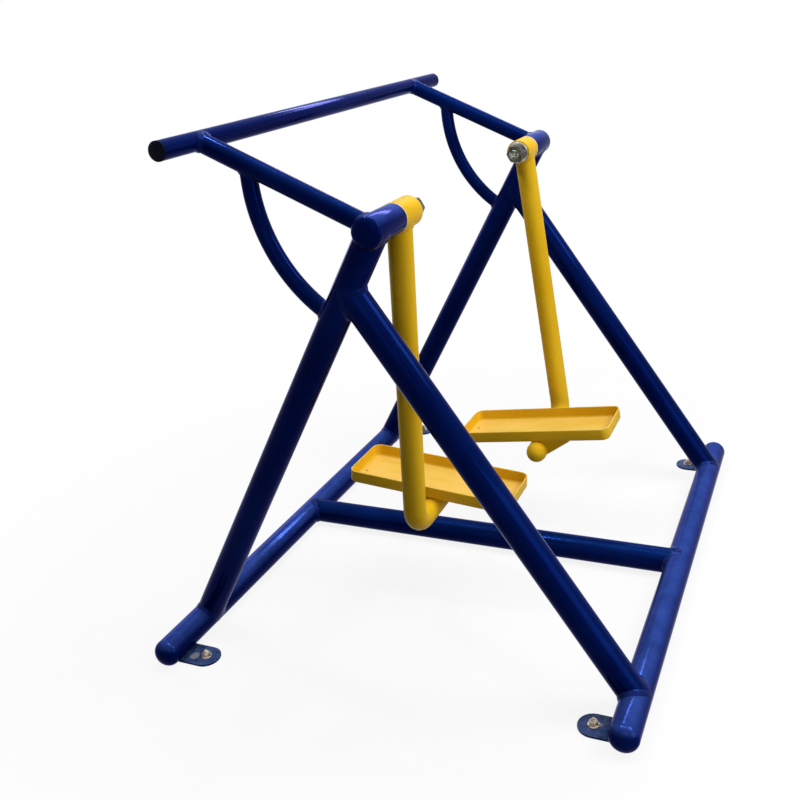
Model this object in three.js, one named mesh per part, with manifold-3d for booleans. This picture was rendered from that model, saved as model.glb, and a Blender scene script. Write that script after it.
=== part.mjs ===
// Outdoor air walker. Two A-frames stand on an H-shaped base and carry a handlebar and two
// swinging arms, each with a foot tray. Millimetres, Z up. The user faces -X, so the left
// side is at -Y. The origin is on the ground, under the middle of the footprint.
import * as THREE from 'three';
import { mergeVertices } from 'three/addons/utils/BufferGeometryUtils.js';
import Module from 'manifold-3d';

const wasm = await Module();
wasm.setup();

// Main sizes of the frame
const SKID_SPREAD = 1260; // between the axes of the front and rear skids
const FRONT_SKID_LENGTH = 1690;
const REAR_SKID_LENGTH = 1575;
const A_FRAME_SPREAD = 1240; // between the planes of the two A-frames
const HUB_HEIGHT = 1200;
const HUB_SETBACK = 47; // of the hub axis behind the middle of the footprint
const REAR_LEG_DROP = 170; // from the hub axis down the front leg to the rear leg
const HANDLE_REACH = 446; // of the handlebar ahead of the hub axis
const HANDLE_RISE = 209; // of the handlebar above the hub axis
const HANDLEBAR_LENGTH = 1596;
const HANDLEBAR_SHIFT = 20; // of its middle towards the right

// Pipes: outside diameter and wall
const MAIN_OD = 76.1;
const MAIN_WALL = 3.2;
const HANDLE_ARM_OD = 48.3;
const HANDLE_ARM_WALL = 2.9;
const HANDLEBAR_OD = 48.3;
const HANDLEBAR_WALL = 2.9;
const BRACE_OD = 42.4;
const BRACE_WALL = 2.6;
const SWING_ARM_OD = 63.5;
const SWING_ARM_WALL = 3.2;

// Curved brace between the handle arm and the front leg
const BRACE_FORWARD = 317; // of its upright end ahead of the hub axis
const BRACE_BEND_RISE = 117; // of the start of its bend above the hub axis
const BRACE_BEND_RADIUS = 398;

// Closed ends
const SKID_DOME = 28;
const HUB_DOME = 16;
const DOME_WALL = 3;
const PLUG_DOME = 6;
const PLUG_SPIGOT = 22;
const PLUG_WALL = 2.5;

// Feet and ground anchors
const TAB_THICKNESS = 6;
const TAB_WIDTH = 80;
const TAB_TOE = 12; // from the skid axis to where the tab starts under the pipe
const TAB_REACH = 86; // from the skid axis to the bolt
const TAB_END_SETBACK = 82; // of the tab's middle from the end of the skid
const ANCHOR_BOLT_DIAMETER = 12;
const ANCHOR_HOLE_DIAMETER = 14;
const ANCHOR_STUD_RISE = 5;
const ANCHOR_WASHER_OD = 30;
const ANCHOR_WASHER_THICKNESS = 2.5;
const ANCHOR_NUT_FLATS = 19;
const ANCHOR_NUT_HEIGHT = 10;
const GROUND_GAP = 0.2;

// Hubs: the fixed housing, and the sleeve that turns on a shouldered axle
const HUB_FACE_SPREAD = 1040; // between the inboard faces of the two housings
const HUB_LENGTH = 140;
const HUB_WALL = 5;
const THRUST_WASHER_THICKNESS = 2.4;
const THRUST_WASHER_RELIEF = 0.6; // of its rim inside the pipe's outside
const SLEEVE_LENGTH = 89;
const BEARING_OD = 62;
const BEARING_BORE = 30;
const BEARING_WIDTH = 16;
const BEARING_LAND = 3; // step of the sleeve's bore between the bearings
const BEARING_RACE = 5;
const BEARING_SEAL_DEPTH = 1;
const SPACER_WALL = 4;
const AXLE_BODY_DIAMETER = 42;
const AXLE_COLLAR_THICKNESS = 12;
const AXLE_END_CHAMFER = 2;
const AXLE_END_RISE = 9; // of the axle's end past its nut
const AXLE_WASHER_OD = 68;
const AXLE_WASHER_THICKNESS = 5;
const AXLE_NUT_FLATS = 50;
const AXLE_NUT_HEIGHT = 32;

// Swinging arms, hanging as they stand when nobody is on them
const LEFT_SWING_DEGREES = -5; // positive takes the tray back, towards +X
const RIGHT_SWING_DEGREES = 7.3;
const ARM_SPREAD = 970; // between the two arms' axes at the hub axis
const ARM_DROP = 910; // from the hub axis down to the foot tube's axis
const ARM_LEAN_DEGREES = 5; // inboard
const ARM_BEND_RADIUS = 60;
const FOOT_TUBE_SPREAD = 220; // between the inboard ends of the two foot tubes

// Foot trays
const TRAY_LENGTH = 505;
const TRAY_WIDTH = 190;
const TRAY_HEIGHT = 38;
const TRAY_WALL = 4;
const TRAY_CORNER_RADIUS = 26;
const TRAY_PRESS_RADIUS = 8; // of the bend between floor and wall
const TRAY_SPREAD = 230; // between the inboard edges of the two trays
const TRAY_FORWARD = 12; // of the tray's middle ahead of the arm
const DRAIN_HOLE_DIAMETER = 9;
const DRAIN_HOLE_INSET = 34; // from the tray's edges
const GUSSET_THICKNESS = 6;
const GUSSET_REACH = 108; // behind the foot tube's axis
const GUSSET_TIP = 5;
const GUSSET_DEPTH = 46; // below the tray
const GUSSET_INSET = 10; // from the tray's inboard edge

// Fits
const CLEARANCE = 0.3;
const OVERRUN = 20; // of a cutting solid past what it cuts
const MERGE_TOLERANCE = 0.001;

// Facets
const PIPE_SIDES = 20;
const SMALL_SIDES = 18;
const FASTENER_SIDES = 12;
const HEX_SIDES = 6;
const BEND_STEPS = 6;
const BRACE_STEPS = 7;
const DOME_STEPS = 4;
const DOME_LINING_STEPS = 2;
const CORNER_STEPS = 4;
const PRESS_STEPS = 2;
const LOOP_SIDES = 2; // triangles' corners past the first

const bluePaint = new THREE.MeshStandardMaterial({ color: 0x0b1f6b, roughness: 0.3, metalness: 0.1 });
const yellowPaint = new THREE.MeshStandardMaterial({ color: 0xe6ab14, roughness: 0.38, metalness: 0.05 });
const brightSteel = new THREE.MeshStandardMaterial({ color: 0xc9cbcc, roughness: 0.25, metalness: 0.95 });
const zincPlate = new THREE.MeshStandardMaterial({ color: 0xb9bcc0, roughness: 0.45, metalness: 0.85 });
const bearingSteel = new THREE.MeshStandardMaterial({ color: 0x9fa3a8, roughness: 0.3, metalness: 0.9 });
const paleNylon = new THREE.MeshStandardMaterial({ color: 0xe8e4d6, roughness: 0.6, metalness: 0 });
const blackPlastic = new THREE.MeshStandardMaterial({ color: 0x15161c, roughness: 0.5, metalness: 0 });

const Y_AXIS = new THREE.Vector3(0, 1, 0);
const DOWN = new THREE.Vector3(0, 0, -1);
const BACK = new THREE.Vector3(1, 0, 0);
const at = (x, y, z) => new THREE.Vector3(x, y, z);

// Solids and meshes

const signedVolume = (points, triangles) => {
  const [a, b, c] = [new THREE.Vector3(), new THREE.Vector3(), new THREE.Vector3()];
  let sum = 0;
  for (let i = 0; i < triangles.length; i += 3) {
    a.fromArray(points, triangles[i] * 3);
    b.fromArray(points, triangles[i + 1] * 3);
    c.fromArray(points, triangles[i + LOOP_SIDES] * 3);
    sum += a.dot(b.cross(c));
  }
  return sum;
};

const toSolid = (geometry) => {
  const bare = geometry.clone();
  bare.deleteAttribute('normal');
  bare.deleteAttribute('uv');
  const merged = mergeVertices(bare, MERGE_TOLERANCE);
  const points = merged.getAttribute('position').array;
  const corners = merged.getIndex().array;
  const triangles = [];
  for (let i = 0; i < corners.length; i += 3) {
    const [a, b, c] = corners.subarray(i, i + 3);
    if (a !== b && b !== c && c !== a) triangles.push(a, b, c);
  }
  if (signedVolume(points, triangles) < 0) triangles.reverse();
  return new wasm.Manifold(
    new wasm.Mesh({ numProp: 3, vertProperties: points, triVerts: Uint32Array.from(triangles) }),
  );
};

const toGeometry = (solid) => {
  const mesh = solid.getMesh();
  const geometry = new THREE.BufferGeometry();
  geometry.setAttribute('position', new THREE.BufferAttribute(mesh.vertProperties, mesh.numProp));
  geometry.setIndex(new THREE.BufferAttribute(mesh.triVerts, 1));
  geometry.computeVertexNormals();
  return geometry;
};

const addPiece = (group, name, solid, material) => {
  const mesh = new THREE.Mesh(toGeometry(solid), material);
  mesh.name = name;
  group.add(mesh);
  return mesh;
};

// Straight pipes. A pipe is { from, to, od, wall, sides }, with its ends on its axis.

const rod = ({ from, to, od, sides }, growth = 0) => {
  const axis = to.clone().sub(from);
  const radius = od / 2 + growth;
  const geometry = new THREE.CylinderGeometry(radius, radius, axis.length(), sides);
  geometry.applyQuaternion(new THREE.Quaternion().setFromUnitVectors(Y_AXIS, axis.clone().normalize()));
  geometry.translate(...from.clone().add(to).divideScalar(2).toArray());
  return toSolid(geometry);
};

const hollow = (pipe) => {
  const stretch = pipe.to.clone().sub(pipe.from).setLength(OVERRUN);
  const bore = rod({
    ...pipe,
    from: pipe.from.clone().sub(stretch),
    to: pipe.to.clone().add(stretch),
    od: pipe.od - pipe.wall * 2,
  });
  return rod(pipe).subtract(bore);
};

const largestBody = (solid) =>
  solid.decompose().reduce((best, body) => (body.volume() > best.volume() ? body : best));

// Cuts a pipe's end to the shape of the pipes that it is welded to.
const cope = (solid, ...neighbours) =>
  largestBody(
    neighbours.reduce((cut, neighbour) => cut.subtract(rod(neighbour, CLEARANCE)), solid),
  );

const pointAlong = (pipe, distance) =>
  pipe.from.clone().add(pipe.to.clone().sub(pipe.from).setLength(distance));

// Bent pipes. A station is one { point, tangent } of the path, and a sweep puts one ring at each.

class StationPath extends THREE.Curve {
  constructor(stations) {
    super();
    this.stations = stations;
  }

  stationAt(share) {
    return this.stations[Math.round(share * (this.stations.length - 1))];
  }

  getPoint(share, target = new THREE.Vector3()) {
    return target.copy(this.stationAt(share).point);
  }

  getPointAt(share, target) {
    return this.getPoint(share, target);
  }

  getTangentAt(share, target = new THREE.Vector3()) {
    return target.copy(this.stationAt(share).tangent);
  }
}

// Stations of an arc that leaves start along heading and turns towards side.
const arcStations = (start, heading, side, radius, angle, steps) => {
  const stations = [];
  for (let i = 0; i <= steps; i += 1) {
    const turned = (angle * i) / steps;
    const point = start.clone();
    point.addScaledVector(heading, radius * Math.sin(turned));
    point.addScaledVector(side, radius * (1 - Math.cos(turned)));
    const tangent = heading.clone().multiplyScalar(Math.cos(turned));
    tangent.addScaledVector(side, Math.sin(turned));
    stations.push({ point, tangent });
  }
  return stations;
};

const ringShape = (outerRadius, innerRadius) => {
  const shape = new THREE.Shape();
  shape.absarc(0, 0, outerRadius, 0, Math.PI * 2);
  const hole = new THREE.Path();
  hole.absarc(0, 0, innerRadius, 0, Math.PI * 2, true);
  shape.holes.push(hole);
  return shape;
};

const sweepPipe = (stations, od, wall) =>
  toSolid(
    new THREE.ExtrudeGeometry(ringShape(od / 2, od / 2 - wall), {
      steps: stations.length - 1,
      curveSegments: SMALL_SIDES / 2,
      extrudePath: new StationPath(stations),
    }),
  );

// Turned pieces, about their own Y axis

const lathe = (points, sides) =>
  toSolid(new THREE.LatheGeometry(points.map(([radius, y]) => new THREE.Vector2(radius, y)), sides));

// The profile of a dome from its crown, at rise, to its rim, at zero.
const domePoints = (radius, rise, steps) => {
  const points = [];
  for (let i = 0; i <= steps; i += 1) {
    const angle = (Math.PI / 2) * (1 - i / steps);
    const reach = i === 0 ? 0 : radius * Math.cos(angle);
    points.push([reach, rise * Math.sin(angle)]);
  }
  return points;
};

// A pressed end cap: a shell with its rim at zero and its crown at rise.
const domedCap = (od, rise, wall) => {
  const outside = domePoints(od / 2, rise, DOME_STEPS);
  const inside = domePoints(od / 2 - wall, rise - wall, DOME_LINING_STEPS).reverse();
  return lathe([...outside, ...inside], PIPE_SIDES);
};

const washer = (od, bore, thickness) =>
  lathe(
    [
      [bore / 2, 0],
      [od / 2, 0],
      [od / 2, thickness],
      [bore / 2, thickness],
      [bore / 2, 0],
    ],
    PIPE_SIDES,
  );

// A hexagon with both rims turned down to its flats, centred on its own axis.
const hexagon = (flats, height) => {
  const cornerRadius = flats / 2 / Math.cos(Math.PI / HEX_SIDES);
  const turnedDown = cornerRadius - flats / 2;
  const prism = new THREE.CylinderGeometry(cornerRadius, cornerRadius, height, HEX_SIDES);
  prism.translate(0, height / 2, 0);
  const envelope = lathe(
    [
      [0, 0],
      [flats / 2, 0],
      [cornerRadius, turnedDown],
      [cornerRadius, height - turnedDown],
      [flats / 2, height],
      [0, height],
    ],
    FASTENER_SIDES,
  );
  return toSolid(prism).intersect(envelope);
};

// The base: two skids joined by a cross tube

const frontX = -SKID_SPREAD / 2;
const rearX = SKID_SPREAD / 2;
const mainRadius = MAIN_OD / 2;
const mainPipe = { od: MAIN_OD, wall: MAIN_WALL, sides: PIPE_SIDES };

const skidPipe = (x, length) => {
  const reach = length / 2 - SKID_DOME - CLEARANCE;
  return { ...mainPipe, from: at(x, -reach, mainRadius), to: at(x, reach, mainRadius) };
};

const skids = [
  { name: 'front', x: frontX, length: FRONT_SKID_LENGTH, inward: 1 },
  { name: 'rear', x: rearX, length: REAR_SKID_LENGTH, inward: -1 },
].map((skid) => ({ ...skid, pipe: skidPipe(skid.x, skid.length) }));
const [frontSkid, rearSkid] = skids;

const sides = [
  { name: 'left', sign: -1, swingDegrees: LEFT_SWING_DEGREES },
  { name: 'right', sign: 1, swingDegrees: RIGHT_SWING_DEGREES },
];

const footTab = (skid, sign) => {
  const outline = new THREE.Shape();
  outline.moveTo(TAB_TOE, -TAB_WIDTH / 2);
  outline.lineTo(TAB_REACH, -TAB_WIDTH / 2);
  outline.absarc(TAB_REACH, 0, TAB_WIDTH / 2, -Math.PI / 2, Math.PI / 2);
  outline.lineTo(TAB_TOE, TAB_WIDTH / 2);
  const hole = new THREE.Path();
  hole.absarc(TAB_REACH, 0, ANCHOR_HOLE_DIAMETER / 2, 0, Math.PI * 2, true);
  outline.holes.push(hole);
  const plate = new THREE.ExtrudeGeometry(outline, {
    depth: TAB_THICKNESS,
    bevelEnabled: false,
    curveSegments: FASTENER_SIDES / 2,
  });
  if (skid.inward < 0) plate.rotateZ(Math.PI);
  plate.translate(skid.x, sign * (skid.length / 2 - TAB_END_SETBACK), 0);
  return cope(toSolid(plate), skid.pipe);
};

// Washer, nut and the end of the ground stud, in one piece standing on the tab's hole.
const anchor = () => {
  const washerTop = TAB_THICKNESS + CLEARANCE + ANCHOR_WASHER_THICKNESS;
  const nutTop = washerTop + ANCHOR_NUT_HEIGHT;
  const studRadius = ANCHOR_BOLT_DIAMETER / 2;
  const stud = lathe(
    [
      [0, GROUND_GAP],
      [studRadius, GROUND_GAP],
      [studRadius, TAB_THICKNESS + CLEARANCE],
      [ANCHOR_WASHER_OD / 2, TAB_THICKNESS + CLEARANCE],
      [ANCHOR_WASHER_OD / 2, washerTop],
      [studRadius, washerTop],
      [studRadius, nutTop + ANCHOR_STUD_RISE],
      [0, nutTop + ANCHOR_STUD_RISE],
    ],
    FASTENER_SIDES,
  );
  return stud.add(hexagon(ANCHOR_NUT_FLATS, ANCHOR_NUT_HEIGHT).translate([0, washerTop, 0]));
};

const addBase = (group) => {
  for (const skid of skids) {
    addPiece(group, `${skid.name}_skid`, hollow(skid.pipe), bluePaint);
    for (const side of sides) {
      const cap = addPiece(
        group,
        `${skid.name}_skid_${side.name}_cap`,
        domedCap(MAIN_OD, SKID_DOME, DOME_WALL),
        bluePaint,
      );
      cap.position.set(skid.x, side.sign * (skid.length / 2 - SKID_DOME), mainRadius);
      cap.rotation.z = side.sign < 0 ? Math.PI : 0;
      addPiece(group, `${skid.name}_${side.name}_foot_tab`, footTab(skid, side.sign), bluePaint);
      const bolt = addPiece(group, `${skid.name}_${side.name}_anchor`, anchor(), zincPlate);
      bolt.position.set(
        skid.x + skid.inward * TAB_REACH,
        side.sign * (skid.length / 2 - TAB_END_SETBACK),
        0,
      );
      bolt.rotation.x = Math.PI / 2;
    }
  }
  const crossPipe = { ...mainPipe, from: at(frontX, 0, mainRadius), to: at(rearX, 0, mainRadius) };
  addPiece(group, 'cross_tube', cope(hollow(crossPipe), frontSkid.pipe, rearSkid.pipe), bluePaint);
};

// The A-frames, their handle arms and braces, and the handlebar

const barPoint = (y) => at(HUB_SETBACK - HANDLE_REACH, y, HUB_HEIGHT + HANDLE_RISE);
const plugReach = HANDLEBAR_LENGTH / 2 - PLUG_DOME;
const handlebarPipe = {
  od: HANDLEBAR_OD,
  wall: HANDLEBAR_WALL,
  sides: SMALL_SIDES,
  from: barPoint(HANDLEBAR_SHIFT - plugReach + CLEARANCE),
  to: barPoint(HANDLEBAR_SHIFT + plugReach - CLEARANCE),
};

const aFramePipes = (sign) => {
  const y = (sign * A_FRAME_SPREAD) / 2;
  const top = at(HUB_SETBACK, y, HUB_HEIGHT);
  const face = (sign * HUB_FACE_SPREAD) / 2;
  const frontLeg = { ...mainPipe, from: top, to: at(frontX, y, mainRadius) };
  return {
    frontLeg,
    rearLeg: { ...mainPipe, from: pointAlong(frontLeg, REAR_LEG_DROP), to: at(rearX, y, mainRadius) },
    hub: {
      ...mainPipe,
      wall: HUB_WALL,
      from: at(HUB_SETBACK, face, HUB_HEIGHT),
      to: at(HUB_SETBACK, face + sign * HUB_LENGTH, HUB_HEIGHT),
    },
    handleArm: {
      od: HANDLE_ARM_OD,
      wall: HANDLE_ARM_WALL,
      sides: SMALL_SIDES,
      from: top,
      to: barPoint(y),
    },
  };
};

// The brace drops from the handle arm, then bends back until it meets the front leg's axis.
const braceStations = (pipes) => {
  const { x, y, z } = pipes.frontLeg.from;
  const slope = HANDLE_RISE / HANDLE_REACH;
  const top = at(x - BRACE_FORWARD, y, z + BRACE_FORWARD * slope);
  const bendStart = at(top.x, y, z + BRACE_BEND_RISE);
  const centre = at(top.x + BRACE_BEND_RADIUS, y, bendStart.z);
  const legDirection = pipes.frontLeg.to.clone().sub(pipes.frontLeg.from).normalize();
  const offset = pipes.frontLeg.from.clone().sub(centre);
  const half = offset.dot(legDirection);
  const down = -half + Math.sqrt(half ** 2 - offset.lengthSq() + BRACE_BEND_RADIUS ** 2);
  const end = pointAlong(pipes.frontLeg, down);
  const angle = Math.atan2(centre.z - end.z, centre.x - end.x);
  return [
    { point: top, tangent: DOWN.clone() },
    ...arcStations(bendStart, DOWN, BACK, BRACE_BEND_RADIUS, angle, BRACE_STEPS),
  ];
};

const addAFrame = (group, side) => {
  const pipes = aFramePipes(side.sign);
  const { frontLeg, rearLeg, hub, handleArm } = pipes;
  addPiece(group, `${side.name}_front_leg`, cope(hollow(frontLeg), hub, frontSkid.pipe), bluePaint);
  addPiece(group, `${side.name}_rear_leg`, cope(hollow(rearLeg), frontLeg, rearSkid.pipe), bluePaint);
  addPiece(
    group,
    `${side.name}_handle_arm`,
    cope(hollow(handleArm), hub, frontLeg, handlebarPipe),
    bluePaint,
  );
  const brace = sweepPipe(braceStations(pipes), BRACE_OD, BRACE_WALL);
  addPiece(group, `${side.name}_brace`, cope(brace, handleArm, frontLeg), bluePaint);
};

const handlebarPlug = () => {
  const spigotRadius = HANDLEBAR_OD / 2 - HANDLEBAR_WALL - CLEARANCE;
  return lathe(
    [
      ...domePoints(HANDLEBAR_OD / 2, PLUG_DOME, DOME_LINING_STEPS),
      [spigotRadius, 0],
      [spigotRadius, -PLUG_SPIGOT],
      [spigotRadius - PLUG_WALL, -PLUG_SPIGOT],
      [spigotRadius - PLUG_WALL, 0],
      [0, 0],
    ],
    SMALL_SIDES,
  );
};

const addHandlebar = (group) => {
  addPiece(group, 'handlebar', hollow(handlebarPipe), bluePaint);
  for (const side of sides) {
    const plug = addPiece(group, `handlebar_${side.name}_plug`, handlebarPlug(), blackPlastic);
    plug.position.copy(barPoint(HANDLEBAR_SHIFT + side.sign * plugReach));
    plug.rotation.z = side.sign < 0 ? Math.PI : 0;
  }
};

// The hubs. Each is drawn along Y with its housing's inboard face at zero and outboard up.

const sleeveOuter = -(THRUST_WASHER_THICKNESS + CLEARANCE * 2);
const sleeveInner = sleeveOuter - SLEEVE_LENGTH;
const journalRadius = BEARING_BORE / 2 - CLEARANCE;
const nutSeat = sleeveInner - CLEARANCE - AXLE_WASHER_THICKNESS - CLEARANCE;
const nutEnd = nutSeat - AXLE_NUT_HEIGHT;

// A turned axle with two collars that fill the housing and a journal for the bearings.
const axle = () => {
  const collarRadius = mainRadius - HUB_WALL - CLEARANCE;
  const bodyRadius = AXLE_BODY_DIAMETER / 2;
  const end = nutEnd - AXLE_END_RISE;
  return lathe(
    [
      [0, HUB_LENGTH - AXLE_COLLAR_THICKNESS],
      [collarRadius, HUB_LENGTH - AXLE_COLLAR_THICKNESS],
      [collarRadius, HUB_LENGTH - AXLE_COLLAR_THICKNESS * 2],
      [bodyRadius, HUB_LENGTH - AXLE_COLLAR_THICKNESS * 2],
      [bodyRadius, AXLE_COLLAR_THICKNESS],
      [collarRadius, AXLE_COLLAR_THICKNESS],
      [collarRadius, 0],
      [journalRadius, 0],
      [journalRadius, end + AXLE_END_CHAMFER],
      [journalRadius - AXLE_END_CHAMFER, end],
      [0, end],
    ],
    PIPE_SIDES,
  );
};

// Two races with the seal set back between them on the inboard face.
const bearing = () => {
  const outer = BEARING_OD / 2;
  const inner = BEARING_BORE / 2;
  return lathe(
    [
      [inner, 0],
      [inner + BEARING_RACE, 0],
      [inner + BEARING_RACE, BEARING_SEAL_DEPTH],
      [outer - BEARING_RACE, BEARING_SEAL_DEPTH],
      [outer - BEARING_RACE, 0],
      [outer, 0],
      [outer, BEARING_WIDTH],
      [inner, BEARING_WIDTH],
      [inner, 0],
    ],
    PIPE_SIDES,
  );
};

// The turning sleeve: bearing seats at both ends and a land between them.
const sleeve = () => {
  const seatRadius = BEARING_OD / 2 + CLEARANCE;
  const landRadius = BEARING_OD / 2 - BEARING_LAND;
  const seatDepth = BEARING_WIDTH + CLEARANCE;
  return lathe(
    [
      [seatRadius, 0],
      [mainRadius, 0],
      [mainRadius, SLEEVE_LENGTH],
      [seatRadius, SLEEVE_LENGTH],
      [seatRadius, SLEEVE_LENGTH - seatDepth],
      [landRadius, SLEEVE_LENGTH - seatDepth],
      [landRadius, seatDepth],
      [seatRadius, seatDepth],
      [seatRadius, 0],
    ],
    PIPE_SIDES,
  );
};

const hexNut = () => {
  const bore = new THREE.CylinderGeometry(
    BEARING_BORE / 2,
    BEARING_BORE / 2,
    AXLE_NUT_HEIGHT + OVERRUN,
    SMALL_SIDES,
  );
  bore.translate(0, AXLE_NUT_HEIGHT / 2, 0);
  return hexagon(AXLE_NUT_FLATS, AXLE_NUT_HEIGHT).subtract(toSolid(bore));
};

const hubGroup = (side) => {
  const group = new THREE.Group();
  group.position.set(HUB_SETBACK, (side.sign * HUB_FACE_SPREAD) / 2, HUB_HEIGHT);
  group.rotation.z = side.sign < 0 ? Math.PI : 0;
  return group;
};

const addFixedHub = (parent, side) => {
  const group = hubGroup(side);
  const place = (name, solid, material, y) => {
    addPiece(group, `${side.name}_${name}`, solid, material).position.y = y;
  };
  const housing = { ...mainPipe, wall: HUB_WALL, from: at(0, 0, 0), to: at(0, HUB_LENGTH, 0) };
  const spacerLength = SLEEVE_LENGTH - (BEARING_WIDTH + CLEARANCE) * 2;
  place('hub_housing', hollow(housing), bluePaint, 0);
  place('hub_cap', domedCap(MAIN_OD, HUB_DOME, DOME_WALL), bluePaint, HUB_LENGTH + CLEARANCE);
  place('axle', axle(), brightSteel, 0);
  place(
    'thrust_washer',
    washer(MAIN_OD - THRUST_WASHER_RELIEF * 2, BEARING_BORE, THRUST_WASHER_THICKNESS),
    paleNylon,
    sleeveOuter + CLEARANCE,
  );
  place(
    'bearing_spacer',
    washer(BEARING_BORE + SPACER_WALL * 2, BEARING_BORE, spacerLength),
    zincPlate,
    sleeveInner + BEARING_WIDTH + CLEARANCE,
  );
  place(
    'axle_washer',
    washer(AXLE_WASHER_OD, BEARING_BORE, AXLE_WASHER_THICKNESS),
    brightSteel,
    nutSeat + CLEARANCE,
  );
  place('axle_nut', hexNut(), brightSteel, nutEnd);
  parent.add(group);
};

const addTurningHub = (parent, side) => {
  const group = hubGroup(side);
  const place = (name, solid, material, y) => {
    addPiece(group, `${side.name}_${name}`, solid, material).position.y = y;
  };
  place('sleeve', sleeve(), yellowPaint, sleeveInner);
  place('inboard_bearing', bearing(), bearingSteel, sleeveInner);
  place('outboard_bearing', bearing(), bearingSteel, sleeveOuter - BEARING_WIDTH);
  group.position.x = 0;
  group.position.z = 0;
  parent.add(group);
};

// The swinging arms, drawn about the hub axis and hanging plumb

const footTubeEnd = FOOT_TUBE_SPREAD / 2;
const armRadius = SWING_ARM_OD / 2;

const armStations = (sign) => {
  const lean = THREE.MathUtils.degToRad(ARM_LEAN_DEGREES);
  const top = at(0, (sign * ARM_SPREAD) / 2, 0);
  const heading = at(0, -sign * Math.sin(lean), -Math.cos(lean));
  const inboard = at(0, -sign, 0);
  const side = at(0, -sign * Math.cos(lean), Math.sin(lean));
  const elbow = top.clone().addScaledVector(heading, ARM_DROP / Math.cos(lean));
  const turn = heading.angleTo(inboard);
  const setback = ARM_BEND_RADIUS * Math.tan(turn / 2);
  const bendStart = elbow.clone().addScaledVector(heading, -setback);
  return [
    { point: top, tangent: heading },
    ...arcStations(bendStart, heading, side, ARM_BEND_RADIUS, turn, BEND_STEPS),
    { point: at(0, sign * footTubeEnd, -ARM_DROP), tangent: inboard },
  ];
};

const roundedRectangle = (length, width, radius) => {
  const [x, y] = [length / 2, width / 2];
  const shape = new THREE.Shape();
  shape.moveTo(-x + radius, -y);
  shape.lineTo(x - radius, -y);
  shape.absarc(x - radius, -y + radius, radius, -Math.PI / 2, 0);
  shape.lineTo(x, y - radius);
  shape.absarc(x - radius, y - radius, radius, 0, Math.PI / 2);
  shape.lineTo(-x + radius, y);
  shape.absarc(-x + radius, y - radius, radius, Math.PI / 2, Math.PI);
  shape.lineTo(-x, -y + radius);
  shape.absarc(-x + radius, -y + radius, radius, Math.PI, Math.PI * 1.5);
  return shape;
};

// A block with rounded corners whose lower edge is rounded too, from the ground up.
const pressedBlock = (inset, height) => {
  const press = TRAY_PRESS_RADIUS - inset;
  const flat = roundedRectangle(
    TRAY_LENGTH - (inset + press) * 2,
    TRAY_WIDTH - (inset + press) * 2,
    TRAY_CORNER_RADIUS - inset - press,
  );
  const block = new THREE.ExtrudeGeometry(flat, {
    depth: height,
    bevelThickness: press,
    bevelSize: press,
    bevelSegments: PRESS_STEPS,
    curveSegments: CORNER_STEPS,
  });
  block.translate(0, 0, press);
  return toSolid(block);
};

// An open pan with its outside bottom at zero.
const tray = () => {
  const top = new THREE.BoxGeometry(TRAY_LENGTH + OVERRUN, TRAY_WIDTH + OVERRUN, TRAY_HEIGHT);
  top.translate(0, 0, TRAY_HEIGHT * 1.5);
  const well = pressedBlock(TRAY_WALL, TRAY_HEIGHT).translate([0, 0, TRAY_WALL]);
  let pan = pressedBlock(0, TRAY_HEIGHT).subtract(toSolid(top)).subtract(well);
  for (const x of [-1, 1]) {
    for (const y of [-1, 1]) {
      const centre = at(
        x * (TRAY_LENGTH / 2 - DRAIN_HOLE_INSET),
        y * (TRAY_WIDTH / 2 - DRAIN_HOLE_INSET),
        0,
      );
      const drill = {
        od: DRAIN_HOLE_DIAMETER,
        sides: FASTENER_SIDES / 2,
        from: centre.clone().addScaledVector(DOWN, OVERRUN),
        to: centre.clone().addScaledVector(DOWN, -OVERRUN),
      };
      pan = pan.subtract(rod(drill));
    }
  }
  return pan;
};

// A plate behind the foot tube that props up the tray.
const gusset = (sign, trayBottom) => {
  const outline = new THREE.Shape();
  outline.moveTo(0, 0);
  outline.lineTo(GUSSET_REACH, 0);
  outline.lineTo(GUSSET_REACH, -GUSSET_TIP);
  outline.lineTo(armRadius, -GUSSET_DEPTH);
  outline.lineTo(0, -GUSSET_DEPTH);
  const plate = new THREE.ExtrudeGeometry(outline, { depth: GUSSET_THICKNESS, bevelEnabled: false });
  plate.rotateX(Math.PI / 2);
  const outboard = TRAY_SPREAD / 2 + GUSSET_INSET + (sign > 0 ? GUSSET_THICKNESS : 0);
  plate.translate(0, sign * outboard, trayBottom - CLEARANCE);
  const footTube = {
    od: SWING_ARM_OD,
    sides: PIPE_SIDES * 2,
    from: at(0, 0, -ARM_DROP),
    to: at(0, sign * TRAY_SPREAD, -ARM_DROP),
  };
  return cope(toSolid(plate), footTube);
};

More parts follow.
